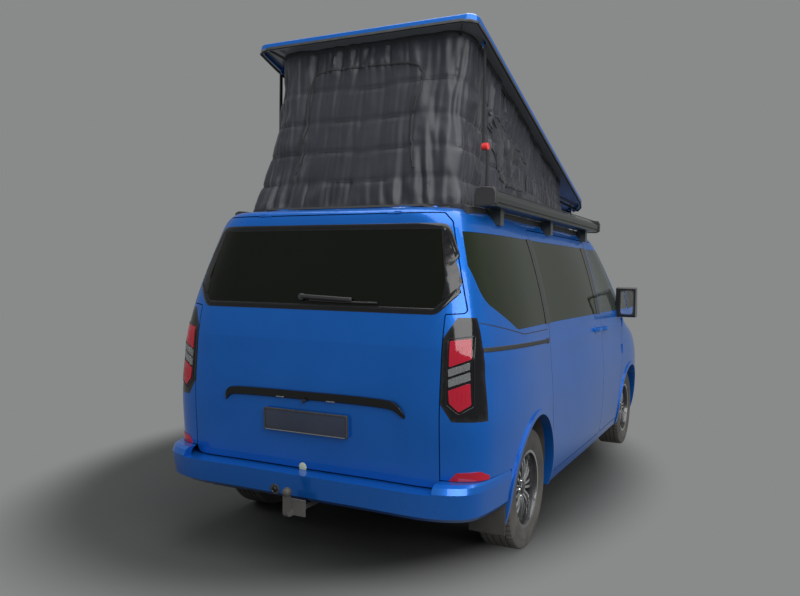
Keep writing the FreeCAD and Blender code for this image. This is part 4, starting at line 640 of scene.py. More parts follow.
class Skin:
    """The outer face of some nodes, reached along an axis, with narrow seams bridged."""

    def __init__(self, *names):
        verts, faces = [], []
        for name in names:
            mesh = nodes[name].data
            base = len(verts)
            verts += [vert.co.copy() for vert in mesh.vertices]
            faces += [[base + index for index in polygon.vertices] for polygon in mesh.polygons]
        self.tree = BVHTree.FromPolygons(verts, faces)

    def ray(self, a, b, axis):
        way = RAYS[axis]
        start = {"x": Vector((0, a, b)), "y": Vector((a, 0, b)), "z": Vector((a, b, 0))}[axis[1]] - way * 4
        spot, normal, _, far = self.tree.ray_cast(start, way)
        if spot is None:
            return None
        return far, spot, normal if normal.dot(way) < 0 else -normal

    def at(self, a, b, axis):
        """The outer face at one place: its spot and its normal."""
        here = self.ray(a, b, axis)
        pairs = []
        for da, db in ((SEAM_BRIDGE, 0), (0, SEAM_BRIDGE)):
            one, two = self.ray(a + da, b + db, axis), self.ray(a - da, b - db, axis)
            if one and two and abs(one[0] - two[0]) < 0.03:
                pairs.append(((one[0] + two[0]) / 2, (one[1] + two[1]) / 2, (one[2] + two[2]).normalized()))
        nearest = min(pairs, key=lambda item: item[0]) if pairs else None
        if nearest and (here is None or here[0] > nearest[0] + 0.010):
            here = nearest
        if here is None:
            spread = [self.ray(a + da, b + db, axis) for da in (-0.03, 0, 0.03) for db in (-0.03, 0, 0.03)]
            spread = [item for item in spread if item]
            if not spread:
                return None
            here = min(spread, key=lambda item: item[0])
        return here[1], here[2]


def cover(skin, corners, axis, proud, thick, step=0.03, shape=None, steps=5):
    """A closed sheet laid on a skin inside an outline; shape(a, b) adds to its height at a place."""
    line = outline(corners, steps)
    low = Vector((min(p.x for p in line), min(p.y for p in line)))
    high = Vector((max(p.x for p in line), max(p.y for p in line)))
    dense = cut_up(line, step)
    points = list(dense)
    columns = max(1, int((high.x - low.x) / step))
    rows = max(1, int((high.y - low.y) / step))
    for column in range(1, columns):
        for row in range(1, rows):
            spot = Vector((low.x + (high.x - low.x) * column / columns,
                           low.y + (high.y - low.y) * row / rows))
            if min((spot - edge).length for edge in dense) > step * 0.45:
                points.append(spot)
    flat = delaunay_2d_cdt(points, [], [list(range(len(dense)))], 1, 1e-6)
    places, triangles = flat[0], flat[2]
    tops, backs = [], []
    for place in places:
        found = skin.at(place.x, place.y, axis)
        if found is None:
            found = (tops[-1], Vector((0, 0, 1))) if tops else (Vector(), Vector((0, 0, 1)))
        spot, normal = found
        rise = proud + (shape(place.x, place.y) if shape else 0.0)
        tops.append(spot + normal * rise)
        backs.append(spot + normal * (rise - thick))
    used = {(triangle[n], triangle[(n + 1) % 3]): True for triangle in triangles for n in range(3)}
    rim = [edge for edge in used if (edge[1], edge[0]) not in used]
    count = len(tops)
    faces = [list(t) for t in triangles] + [[count + i for i in reversed(t)] for t in triangles]
    faces += [[b, a, count + a, count + b] for a, b in rim]
    return tops + backs, faces


def on_skin(skin, line, axis, rise=0.0):
    """A flat line's points laid on a skin, with the normals there."""
    spots, normals = [], []
    for point in line:
        found = skin.at(point[0], point[1], axis)
        if found:
            spots.append(found[0] + found[1] * rise)
            normals.append(found[1])
    return spots, normals


def trim_line(name, skin, corners, axis, wide, tall, finish, body="van", closed=True,
              sink=0.001, fine=0.03):
    """A low rounded strip along a line on a skin, such as a seal."""
    line = outline(corners, 4) if closed else [Vector(c[:2]) for c in corners]
    spots, normals = on_skin(skin, cut_up(line, fine, closed), axis)
    half = wide / 2
    section = [(-half, -sink), (-half * 0.8, tall * 0.8), (0, tall), (half * 0.8, tall * 0.8),
               (half, -sink)]
    return piece(name, sweep(spots, normals, section, closed), finish, body)


def lines_on(name, skin, lines, axis, wide, tall, finish):
    """Several open strips on a skin as one piece."""
    half = wide / 2
    section = [(-half, -0.001), (-half * 0.7, tall), (half * 0.7, tall), (half, -0.001)]
    forms = []
    for line in lines:
        spots, normals = on_skin(skin, cut_up([Vector(p) for p in line], 0.03, False), axis)
        forms.append(sweep(spots, normals, section))
    return piece(name, joined(forms), finish)


# Tent: a hanging cloth wall between the roof and the open shell

TILT = math.radians(17.1)
ARM_OPEN = Vector((0, -0.761472, 2.164101))
ARM_SHUT = Vector((0, -0.661646, 1.988980))
TIP_Y = ARM_SHUT.y - 0.120
OPEN = Matrix.Translation(ARM_OPEN) @ Matrix.Rotation(TILT, 4, "X") @ Matrix.Translation(-ARM_SHUT)
FOLD_SHARES = (0.164, 0.343, 0.528, 0.719)
NET_PROUD = 0.0022
CLOTH_ANGLE = 80
REAR_ZIP = ((0.386, 2.172), (0.357, 2.294), (0.363, 2.481), (0.379, 2.670), (0.358, 2.752), (0.300, 2.806),
            (0.100, 2.815), (-0.118, 2.811), (-0.300, 2.798), (-0.368, 2.770), (-0.396, 2.710),
            (-0.392, 2.640),
            (-0.358, 2.453), (-0.380, 2.279), (-0.401, 2.178))
SIDE_ZIP = ((1.44, 2.61), (1.08, 2.50), (0.74, 2.385), (0.665, 2.32), (0.646, 2.19), (0.70, 2.150),
            (1.0, 2.160),
            (1.22, 2.175), (1.30, 2.24), (1.39, 2.49), (1.44, 2.61))


def ring_line(half, long, corner, count):
    """Even places round a rounded rectangle, from the middle of its rear side towards the left."""
    corners = [(0.0, long, 0), (half, long, corner), (half, 0.0, corner), (-half, 0.0, corner),
               (-half, long, corner)]
    line = [Vector(p) for p in outline(corners, 6)]
    lengths = [0.0]
    for index in range(len(line)):
        lengths.append(lengths[-1] + (line[(index + 1) % len(line)] - line[index]).length)
    spots, here = [], 0
    for step in range(count):
        reach = lengths[-1] * step / count
        while lengths[here + 1] < reach:
            here += 1
        part = (reach - lengths[here]) / (lengths[here + 1] - lengths[here])
        spots.append(line[here].lerp(line[(here + 1) % len(line)], part))
    return spots, lengths[-1]


class TentForm:
    """The tent's wall as a function of the place round it and the share of its height."""

    def __init__(self, sizes):
        self.sizes = sizes
        self.count = sizes.across
        top_z = ARM_SHUT.z + 0.0177
        self.rings = []
        for part, half, corner in ((0.0, sizes.foot_half, sizes.corner),
                                   (0.5, sizes.middle_half, sizes.waist_corner),
                                   (1.0, sizes.top_half, sizes.waist_corner * 0.7)):
            ends = []
            for foot, top in ((sizes.foot_front, sizes.top_front), (sizes.foot_rear, sizes.top_rear)):
                low = Vector((0, foot, sizes.foot_z))
                ends.append(low.lerp(OPEN @ Vector((0, TIP_Y + top, top_z)), part))
            along = ends[1] - ends[0]
            flat, length = ring_line(half, along.length, corner, self.count)
            along.normalize()
            self.rings.append([ends[0] + Vector((p.x, 0, 0)) + along * p.y for p in flat])
            self.length = length

    def smooth(self, u, w):
        place = (u % 1.0) * self.count
        first = int(place) % self.count
        second = (first + 1) % self.count
        part = place - int(place)
        foot, middle, top = (ring[first].lerp(ring[second], part) for ring in self.rings)
        return foot * ((1 - w) * (1 - 2 * w)) + middle * (4 * w * (1 - w)) + top * (w * (2 * w - 1))

    def base(self, u, w):
        """The smooth wall, the level way out of it, and how tall it is there, 1 where it is tall."""
        spot = self.smooth(u, w)
        ahead = self.smooth(u + 0.004, w) - self.smooth(u - 0.004, w)
        out = Vector((ahead.y, -ahead.x, 0)).normalized()
        if out.dot(Vector((spot.x, (spot.y - 0.7) * 0.5, 0))) < 0:
            out = -out
        tall = min(1.0, (self.smooth(u, 1.0) - self.smooth(u, 0.0)).length / 0.8)
        return spot, out, tall

    def at(self, u, w, proud=0.0):
        spot, out, tall = self.base(u, w)
        run = u * self.length
        panel = self.panel(spot)
        loose = 1.0 - 0.62 * panel
        sway = 0.05 * noise.noise(Vector((run * 1.3, w * 2.6, 8.8)))
        hang = noise.noise(Vector(((run + sway) * 6.0, w * 0.9, 1.7)))
        crease = 0.42 - abs(noise.noise(Vector(((run + sway) * 12.0, w * 1.0, 4.4)))) * 2.2
        pleat = 0.42 - abs(noise.noise(Vector(((run - sway) * 25.0, w * 1.6, 6.4)))) * 2.2
        slant = 0.4 - abs(noise.noise(Vector((run * 3.0 + w * 4.6, w * 3.0 - run * 1.5, 9.3)))) * 2.0
        crumple = noise.noise(Vector((run * 13.0 - w * 6.0, w * 15.0, 7.7)))
        rise = (hang * 0.6 + crease * 0.95 + pleat * 0.80 + slant * 0.80 + crumple * 0.22) * loose
        marks = (0.0,) + FOLD_SHARES + (1.0,)
        wave = fold_wave(run)
        for low, high in zip(marks, marks[1:]):
            if low <= w - wave * (0 < low) < high:
                inside = (w - low) / (high - low)
                full = 0.5 + 0.9 * noise.noise(Vector((run * 1.9, high * 7.0, 3.0)))
                rise += math.sin(math.pi * max(0.0, min(1.0, inside))) * full * 0.28
        for line in FOLD_SHARES:
            apart = (w - line - wave) / 0.009
            rise -= math.exp(-apart * apart) * 0.50
        edge = max(0.0, min(1.0, w / 0.05, (1.0 - w) / 0.05))
        spot = spot + out * (self.sizes.fold * tall * rise * edge ** 0.7 - 0.003 * panel + proud)
        spot.x = max(-self.sizes.stay_clear, min(self.sizes.stay_clear, spot.x))
        return spot

    def panel(self, spot):
        """1 inside the rear zip panel, 0 well outside it."""
        if spot.y < 1.6:
            return 0.0
        side = min((spot.x + 0.375) / 0.03, (0.345 - spot.x) / 0.03)
        tall = min((spot.z - 2.10) / 0.03, (2.80 - spot.z) / 0.03)
        return max(0.0, min(1.0, side, tall))


def fold_wave(run):
    """How far a fold line rises and falls along the cloth."""
    return 0.010 * math.sin(run * 2.3) + 0.006 * math.sin(run * 7.1)


def tent_place(form, x=None, y=None, z=2.2, rear=True):
    """The (u, w) of a place seen square on: x and z on the rear wall, y and z on the right wall."""
    best = None
    for step in range(form.count):
        u = step / form.count
        foot, out, tall = form.base(u, 0.5)
        if rear and out.y < 0.5 or not rear and out.x > -0.5:
            continue
        low, high = form.smooth(u, 0.0), form.smooth(u, 1.0)
        w = max(0.01, min(0.99, (z - low.z) / max(0.02, high.z - low.z)))
        spot = form.smooth(u, w)
        off = abs(spot.x - x) if rear else abs(spot.y - y)
        if best is None or off < best[0]:
            best = (off, u, w)
    return best[1], best[2]


def even(line, step):
    """A (u, w) line cut into even short runs."""
    out = []
    for index in range(len(line) - 1):
        a, b = Vector(line[index]), Vector(line[index + 1])
        if abs(b.x - a.x) > 0.5:
            b.x += 1.0 if a.x > b.x else -1.0
        cuts = max(1, int(max(abs(b.x - a.x) * 6.8, abs(b.y - a.y) * 0.9) / step))
        out += [a.lerp(b, n / cuts) for n in range(cuts)]
    out.append(Vector(line[-1]))
    return [(p.x, p.y) for p in out]


def tent_strip(name, form, line, wide, tall, finish, proud=0.001):
    places = even(line, 0.012)
    spots = [form.at(u, w, proud) for u, w in places]
    ways = [form.base(u, w)[1] for u, w in places]
    half = wide / 2
    section = [(-half, -0.0015), (-half, tall * 0.7), (-half / 2, tall), (half / 2, tall),
               (half, tall * 0.7),
               (half, -0.0015)]
    return piece(name, sweep(spots, ways, section), finish)


def tent_net(name, form, line):
    """Mesh inside a closed (u, w) line, as rings that shrink to its middle."""
    total = len(line) - 1
    middle = Vector((sum(p[0] for p in line) / len(line), sum(p[1] for p in line) / len(line)))
    shares = (0.955, 0.8, 0.6, 0.4, 0.2)
    places = [middle.lerp(Vector(p), grow) for grow in shares for p in line[:-1]]
    verts, faces = tube([form.at(p.x, p.y, NET_PROUD) for p in places], total, caps=False)
    last = (len(shares) - 1) * total
    faces += [[last + n, last + (n + 1) % total, len(verts)] for n in range(total)]
    verts.append(form.at(middle.x, middle.y, NET_PROUD))
    return piece(name, (verts, faces), "Tent mesh", edge_angle=CLOTH_ANGLE)


def tent_wall(form, sizes):
    """Two layers of cloth, joined at the foot and at the top."""
    count, rows = sizes.across, sizes.up
    verts = [form.at(column / count, row / rows, layer)
             for layer in (0.0, -0.004) for row in range(rows + 1) for column in range(count)]
    ring = (rows + 1) * count
    high = rows * count
    faces = []
    for column in range(count):
        after = (column + 1) % count
        for row in range(rows):
            a, b = row * count + column, row * count + after
            c, d = (row + 1) * count + after, (row + 1) * count + column
            faces.append([a, b, c, d])
            faces.append([ring + d, ring + c, ring + b, ring + a])
        faces.append([column, ring + column, ring + after, after])
        faces.append([high + after, ring + high + after, ring + high + column, high + column])
    return piece("tent_wall", (verts, faces), "Tent cloth", edge_angle=CLOTH_ANGLE)


def build_tent(sizes):
    form = TentForm(sizes)
    wall = tent_wall(form, sizes)
    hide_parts("tent_fabric")
    made = [wall]

    zip_line = [tent_place(form, x=p.x, z=p.y) for p in smooth_path([(*mark, 0) for mark in REAR_ZIP], 5)]
    made.append(tent_strip("tent_zip_rear", form, zip_line, 0.015, 0.005, "Tent binding"))
    made.append(tent_strip("tent_zip_teeth", form, zip_line, 0.0045, 0.003, "Seal rubber", 0.004))
    side_line = smooth_path([(*mark, 0) for mark in SIDE_ZIP], 5)
    right_line = [tent_place(form, y=p.x, z=p.y, rear=False) for p in side_line]
    for hand, line in (("right", right_line), ("left", [(1.0 - u, w) for u, w in right_line])):
        made.append(tent_strip("tent_zip_" + hand, form, line, 0.014, 0.004, "Tent binding"))
        made.append(tent_net("tent_net_" + hand, form, line))
    for index, line in enumerate(FOLD_SHARES):
        stitch = [(n / 240, line + fold_wave(n / 240 * form.length)) for n in range(241)]
        made.append(tent_strip("tent_seam_%d" % (index + 1), form, stitch, 0.006, 0.0022, "Tent binding",
                               0.0005))
    hem = [(n / 300, 0.006) for n in range(301)]
    made.append(tent_strip("tent_hem", form, hem, 0.03, 0.004, "Tent binding", 0.002))
    top_hem = [(n / 300, 0.985) for n in range(301)]
    made.append(tent_strip("tent_top_edge", form, top_hem, 0.03, 0.004, "Tent binding", 0.001))
    for item in made:
        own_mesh(item)


# Wheels: tyres with tread, and dark alloys with machined faces


def tyre_form(sizes):
    """A tyre about the X axis with four grooves, siped shoulders and bead."""
    radius, rim, half = sizes.radius, sizes.rim, sizes.width / 2
    tall = radius - rim
    side = [(0.82, 0.0), (0.92, 0.05), (0.975, 0.22), (1.0, 0.46), (0.995, 0.58), (0.985, 0.60),
            (0.975, 0.68), (0.955, 0.80), (0.925, 0.90), (0.89, 0.955)]
    tread = [(0.83, 0.985, 0), (0.72, 0.995, 0), (0.58, 0.999, 0), (0.565, 0.999, 1), (0.49, 0.999, 1),
             (0.475, 0.999, 0), (0.24, 1.0, 0), (0.225, 1.0, 1), (0.15, 1.0, 1), (0.135, 1.0, 0),
             (0.0, 1.0, 0)]
    right = [(x * half, rim + r * tall, 0, 0) for x, r in side]
    right += [(x * half, rim + r * tall, g, 1 if x > 0.5 else 2) for x, r, g in tread]
    profile = right + [(-x, r, g, k) for x, r, g, k in reversed(right[:-1])]
    profile += [(side * half, rim - 0.004, 0, 0) for side in (-0.80, 0.80)]
    steps = sizes.blocks * 4
    verts = []
    for step in range(steps):
        angle = math.tau * step / steps
        for x, r, groove, zone in profile:
            deep = sizes.groove if groove else 0.0
            if zone == 1 and step % 4 == 0:
                deep = max(deep, sizes.groove * 0.75)
            if zone == 2 and not groove and step % 4 == (1 if x > 0 else 3):
                deep = max(deep, sizes.groove * 0.35)
            if zone == 0 and 0.93 < (r - rim) / tall < 0.97 and step % 4 == 0:
                deep = 0.003
            verts.append(Vector((x, (r - deep) * math.cos(angle), (r - deep) * math.sin(angle))))
    return tube(verts, len(profile), closed=True)


def spoke_form(inner, outer, spread, wide, face_x, deep):
    """One spoke of a pair, from the hub to the rim, sloping back at its ends."""
    verts = []
    for mark in range(7):
        t = mark / 6
        reach = inner + (outer - inner) * t
        aside = spread * (0.32 + 0.68 * t)
        half = wide * (1.0 - 0.30 * t + 0.35 * t * t) / 2
        front = face_x - 0.014 * (1 - math.sin(math.pi * min(1, t * 1.05))) - 0.006 * t
        back = front - deep * (1.0 - 0.25 * t)
        for x, y in ((back, aside - half * 1.25), (front - 0.003, aside - half),
                     (front, aside - half * 0.8), (front, aside + half * 0.8),
                     (front - 0.003, aside + half), (back, aside + half * 1.25)):
            verts.append(Vector((x, y, reach)))
    return tube(verts, 6)


def rim_forms(sizes):
    """The barrel, the spokes and the hub, each with a face number for machined metal."""
    half, rim = sizes.width / 2, sizes.rim
    line = [(0.87, 0.013), (0.91, 0.0125), (0.90, 0.003), (0.885, -0.010), (0.70, -0.016), (0.25, -0.022),
            (-0.5, -0.020), (-0.86, -0.010), (-0.91, 0.0125), (-0.87, 0.013), (-0.83, -0.001),
            (-0.4, -0.012),
            (0.3, -0.014), (0.83, -0.001)]
    barrel = lathe([(half * x, rim + rise) for x, rise in line], steps=96)
    parts = [(barrel, 0)]
    face_x = half * 0.88 - 0.030
    for pair in range(sizes.spokes):
        turn = Matrix.Rotation(math.tau * pair / sizes.spokes, 4, "X")
        for side in (-1, 1):
            spoke = spoke_form(0.045, rim - 0.014, side * 0.030, 0.019, face_x + 0.012, 0.026)
            parts.append((moved(spoke, turn), 1))
    line = [(-0.040, 0.004), (-0.040, 0.066), (-0.012, 0.064), (-0.001, 0.056), (0.001, 0.040),
            (0.002, 0.033),
            (0.006, 0.031), (0.009, 0.026), (0.0095, 0.004)]
    parts.append((lathe([(face_x + x, radius) for x, radius in line]), 0))
    for bolt in range(5):
        angle = math.tau * (bolt + 0.5) / 5
        centre = (0, 0.048 * math.cos(angle), 0.048 * math.sin(angle))
        line = [(-0.010, 0.0), (-0.010, 0.0095), (0.004, 0.0095), (0.0055, 0.0075), (0.0055, 0.0)]
        parts.append((lathe([(face_x + x, radius) for x, radius in line], centre, "x", 6), 2))
    return parts


WHEEL_X = 0.865
WHEEL_Z = 0.345
AXLES = (("front", -1.595), ("rear", 1.505))


def build_wheels(sizes):
    tyre = tyre_form(sizes)
    parts = rim_forms(sizes)
    alloy = joined([form for form, kind in parts])
    marks = [kind for form, kind in parts for face in form[1]]
    for end, y in AXLES:
        for hand, sign in HANDS:
            facing = Matrix.Rotation(0 if sign > 0 else math.pi, 4, "Z")
            turn = Matrix.Translation((WHEEL_X * sign, y, WHEEL_Z)) @ facing
            body = "wheel_%s_%s" % (end, hand)
            made = piece("tread_tyre_%s_%s" % (end, hand), moved(tyre, turn), "Tyre rubber", body,
                         edge_angle=28)
            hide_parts("tyre_%s_%s" % (end, hand))
            finishes = ["Dark alloy", "Machined alloy", "Bright steel"]
            made = piece("alloy_%s_%s" % (end, hand), moved(alloy, turn), finishes, body, edge_angle=30)
            for polygon, kind in zip(made.data.polygons, marks):
                centre = polygon.center
                reach = math.hypot(centre.y - y, centre.z - WHEEL_Z)
                face = polygon.normal.x * sign > 0.80
                lip = reach > sizes.rim - 0.006 and centre.x * sign - WHEEL_X > sizes.width * 0.42
                polygon.material_index = (int(lip), int(face), 2)[kind]
            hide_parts("rim_%s_%s" % (end, hand))
            ends = [turn @ Vector((sizes.width * part, 0, inward - sizes.rim))
                    for part, inward in ((0.35, 0.020), (0.42, 0.034))]
            piece("valve_%s_%s" % (end, hand), sweep(ends, Vector((0, 1, 0)), round_section(0.004, 8)),
                  "Seal rubber", body)


# Rear: lamps, window trims, wiper, handle bar, plate, reflectors and sensors


LAMP_BLOCKS = {
    "red_top": ([(0.806, 1.258, 0.006), (0.897, 1.270, 0.006), (0.906, 1.171, 0.006),
                 (0.808, 1.131, 0.006)], "Red lens"),
    "clear_top": ([(0.805, 1.120, 0.003), (0.901, 1.157, 0.003), (0.901, 1.122, 0.003),
                   (0.808, 1.084, 0.003)], "Clear lens"),
    "clear_low": ([(0.808, 1.071, 0.003), (0.902, 1.109, 0.003), (0.905, 1.070, 0.003),
                   (0.810, 1.033, 0.003)], "Clear lens"),
    "red_low": ([(0.810, 1.018, 0.006), (0.905, 1.056, 0.006), (0.914, 0.950, 0.014),
                 (0.862, 0.914, 0.012), (0.817, 0.956, 0.012)], "Red lens"),
}
LAMP_RIM = [(0.797, 1.268, 0.008), (0.912, 1.283, 0.008), (0.926, 0.940, 0.02), (0.862, 0.900, 0.015),
            (0.801, 0.948, 0.015)]
FLUTES = 4


def build_lamps():
    """Tail lamps: a black housing with red blocks, two slanted clear bars and a lower red block."""
    skin = Skin("tail_lamps")
    for hand, sign in HANDS:
        for part, (corners, finish) in LAMP_BLOCKS.items():
            shape = on_side(corners, sign)
            piece("lamp_%s_%s" % (part, hand), cover(skin, shape, "+y", 0.0045, 0.012, 0.016, steps=4),
                  finish, bevel=0.0012)
            ribs = lamp_flutes(skin, shape)
            if ribs:
                piece("lamp_flutes_%s_%s" % (part, hand), joined(ribs), finish, "van")
        trim_line("lamp_rim_" + hand, skin, on_side(LAMP_RIM, sign), "+y", 0.006, 0.004, "Gloss black")


def lamp_flutes(skin, shape):
    """Fine upright ribs across the middle of a lens."""
    across, up = [[corner[axis] for corner in shape] for axis in (0, 1)]
    left, right, low, high = [pull * 0.9 + sum(row) / len(row) * 0.1
                              for row in (across, up) for pull in (min(row), max(row))]
    ribs = []
    for step in range(1, FLUTES + 1):
        x = left + (right - left) * step / (FLUTES + 1)
        ends = [(x, low + (high - low) * 0.28), (x, high - (high - low) * 0.28)]
        spots, normals = on_skin(skin, ends, "+y", 0.0042)
        if len(spots) == 2:
            ribs.append(sweep(spots, normals, [(-0.0008, -0.002), (0, 0.0015), (0.0008, -0.002)]))
    return ribs


WIPER_FOOT = (0.072, 1.452)
PLATE_Z = 0.785
BAR_EASE = 0.10


def build_tailgate_trim(sizes):
    glass_skin = Skin("tailgate_glass")
    gate_skin = Skin("tailgate", "tailgate_glass")
    rear_window(gate_skin, sizes)
    rear_wiper(glass_skin)
    handle_bar(gate_skin, sizes.bar_z)
    blank_plate(gate_skin, sizes)
    foot = gate_skin.at(0.030, 0.536, "+y")
    piece("tailgate_round_disc", lathe([(-0.002, 0.0), (-0.002, 0.0235), (0.0018, 0.0235), (0.0025, 0.022),
                                        (0.0025, 0.0)], foot[0], "y", 32), "Pale plastic", "tailgate")


def rear_window(gate_skin, sizes):
    """The black band round the rear glass and the gloss corners beside it."""
    edge = [(0.722, 1.398, 0.05), (0.846, 1.532, 0.05), (0.720, 1.832, 0.05)]
    trim_line("rear_window_band", gate_skin, edge + flip_x(edge), "+y", sizes.seal * 2.4, 0.0022,
              "Gloss black", "tailgate", fine=0.02)
    for hand, sign in HANDS:
        corner = [(0.744, 1.454, 0.004), (0.832, 1.538, 0.018), (0.714, 1.820, 0.014),
                  (0.690, 1.818, 0.004), (0.750, 1.545, 0.01)]
        piece("window_corner_" + hand, cover(gate_skin, on_side(corner, sign), "+y", 0.0045, 0.006, 0.018),
              "Gloss black", "tailgate", bevel=0.0015)


def rear_wiper(glass_skin):
    """The arm, the blade and the hub, on the glass."""
    arm_line = [(0.070, 1.452), (-0.02, 1.449), (-0.13, 1.445), (-0.245, 1.441)]
    spots, normals = on_skin(glass_skin, [Vector(p) for p in arm_line], "+y", 0.016)
    form = sweep(smooth_path(spots, 6), normals[0], [(-0.010, -0.006), (-0.012, 0.002), (-0.006, 0.009),
                                                     (0.006, 0.009), (0.012, 0.002), (0.010, -0.006)])
    piece("rear_wiper_arm", form, "Black trim", "tailgate", bevel=0.0015)
    blade_line = [(0.02, 1.436), (-0.10, 1.432), (-0.25, 1.430), (-0.392, 1.431)]
    spots, normals = on_skin(glass_skin, [Vector(p) for p in blade_line], "+y", 0.007)
    form = sweep(smooth_path(spots, 6), normals[0], [(-0.004, -0.0065), (-0.005, 0.002), (0, 0.006),
                                                     (0.005, 0.002), (0.004, -0.0065)])
    piece("rear_wiper_blade", form, "Seal rubber", "tailgate")
    found = glass_skin.at(*WIPER_FOOT, "+y")
    piece("rear_wiper_hub", lathe([(-0.004, 0.0), (-0.004, 0.019), (0.014, 0.019), (0.020, 0.015),
                                   (0.022, 0.0)], found[0], "y", 24), "Black trim", "tailgate")


def handle_bar(gate_skin, z):
    """The long grip, swelling from its drooping ends, with the plate's lamps and the rear lens under it."""
    marks = [(0.540, -0.030), (0.515, 0.004), (0.470, 0.020), (0.25, 0.026), (0.0, 0.028), (-0.25, 0.030),
             (-0.48, 0.026), (-0.545, 0.010), (-0.590, -0.030)]
    spots, normals = on_skin(gate_skin, smooth_path([(x, z + rise, 0) for x, rise in marks], 5), "+y")
    verts = []
    for index, spot in enumerate(spots):
        t = index / (len(spots) - 1)
        ease = min(1.0, min(t, 1 - t) / BAR_EASE) ** 0.6
        out = 0.005 + 0.017 * ease
        tall = 0.008 + 0.015 * ease
        normal = Vector((normals[index].x, normals[index].y, 0)).normalized()
        for across, rise in ((0.95, -0.004), (1.0, 0.80 * out), (0.90, out), (0.72, 0.94 * out),
                             (0.0, out * 0.78), (-0.85, out * 0.62), (-1.0, out * 0.40), (-1.0, -0.004)):
            verts.append(spot + Vector((0, 0, across * tall)) + normal * rise)
    piece("tailgate_handle_bar", tube(verts, 8), "Gloss black", "tailgate", bevel=0.0012, edge_angle=50)
    lens = []
    for x in (0.16, -0.16):
        spot = gate_skin.at(x, z + 0.004, "+y")[0]
        lens.append(rounded_box((0.050, 0.012, 0.006), spot + Vector((0, 0.014, 0.006)), 0.002))
    piece("plate_lamps", joined(lens), "Clear lens", "tailgate")
    camera = gate_skin.at(0.0, z + 0.004, "+y")[0]
    form = lathe([(-0.006, 0.0), (-0.006, 0.011), (0.006, 0.011), (0.008, 0.007), (0.009, 0.0)],
                 camera + Vector((0, 0.020, -0.002)), "y", 20)
    piece("rear_view_lens", form, "Gloss black", "tailgate")


def blank_plate(gate_skin, sizes):
    """The plate with nothing on it, its frame and the frame's bright lower edge."""
    wide, tall = sizes.plate_wide / 2, sizes.plate_tall / 2
    middle = gate_skin.at(0.0, PLATE_Z, "+y")[0] + Vector((0, 0.012, 0))
    lean = Matrix.Rotation(math.radians(-3), 4, "X")
    # The plate's blue tint is a painted reflection of the body paint
    piece("blank_plate", rounded_box((wide * 2, 0.006, tall * 2), middle, 0.0025, 2, lean), "Plate black",
          "tailgate")
    frame_line = [Vector((p.x, 0, p.y)) for p in outline([(wide, tall, 0.008), (-wide, tall, 0.008),
                                                          (-wide, -tall, 0.008), (wide, -tall, 0.008)], 4)]
    place = Matrix.Translation(middle) @ lean
    form = sweep([place @ p for p in frame_line], Vector((0, 1, 0)),
                 [(-0.005, -0.010), (-0.005, 0.004), (-0.002, 0.006), (0.003, 0.005), (0.004, -0.010)],
                 True)
    piece("plate_frame", form, "Black trim", "tailgate")
    lip = sweep([place @ Vector((x, 0.006, -tall - 0.001)) for x in (-wide * 0.97, 0, wide * 0.97)],
                Vector((0, 0, 1)), round_section(0.0022, 8))
    piece("plate_frame_edge", lip, "Bright steel", "tailgate")


def build_bumper_trim():
    skin = Skin("rear_bumper")
    corner_skin = Skin("body_side_left", "body_side_right")
    for hand, sign in HANDS:
        shape = [(0.815, 0.572, 0.003), (0.850, 0.612, 0.005), (0.950, 0.618, 0.008),
                 (0.975, 0.592, 0.004), (0.975, 0.572, 0.003)]
        piece("rear_reflector_" + hand, cover(corner_skin, on_side(shape, sign), "+y", 0.006, 0.012,
                                              0.012), "Red lens", bevel=0.0012)
    forms = []
    for x, z in ((0.80, 0.446), (0.63, 0.458), (-0.63, 0.458), (-0.80, 0.446)):
        forms.append(disc_on(skin, x, z, "+y", 0.0125, 0.0022))
    piece("rear_sensors", joined(forms), "Body paint")
    piece("tow_eye_cover", disc_on(skin, 0.142, 0.424, "+y", 0.029, 0.004), "Black trim")
    piece("tow_eye_cap", disc_on(skin, 0.142, 0.424, "+y", 0.016, 0.011), "Gloss black")


def disc_on(skin, a, b, axis, radius, tall):
    """A round button on a skin, square to it, with a soft rim."""
    spot, normal = skin.at(a, b, axis)
    form = lathe([(-0.004, 0.0), (-0.004, radius), (tall * 0.7, radius), (tall, radius * 0.88),
                  (tall * 0.8, radius * 0.8), (tall, 0.0)], axis="z", steps=28)
    return moved(form, Matrix.Translation(spot) @ normal.to_track_quat("Z", "Y").to_matrix().to_4x4())


# Sides: glass bands, handles, slide rail and grooves


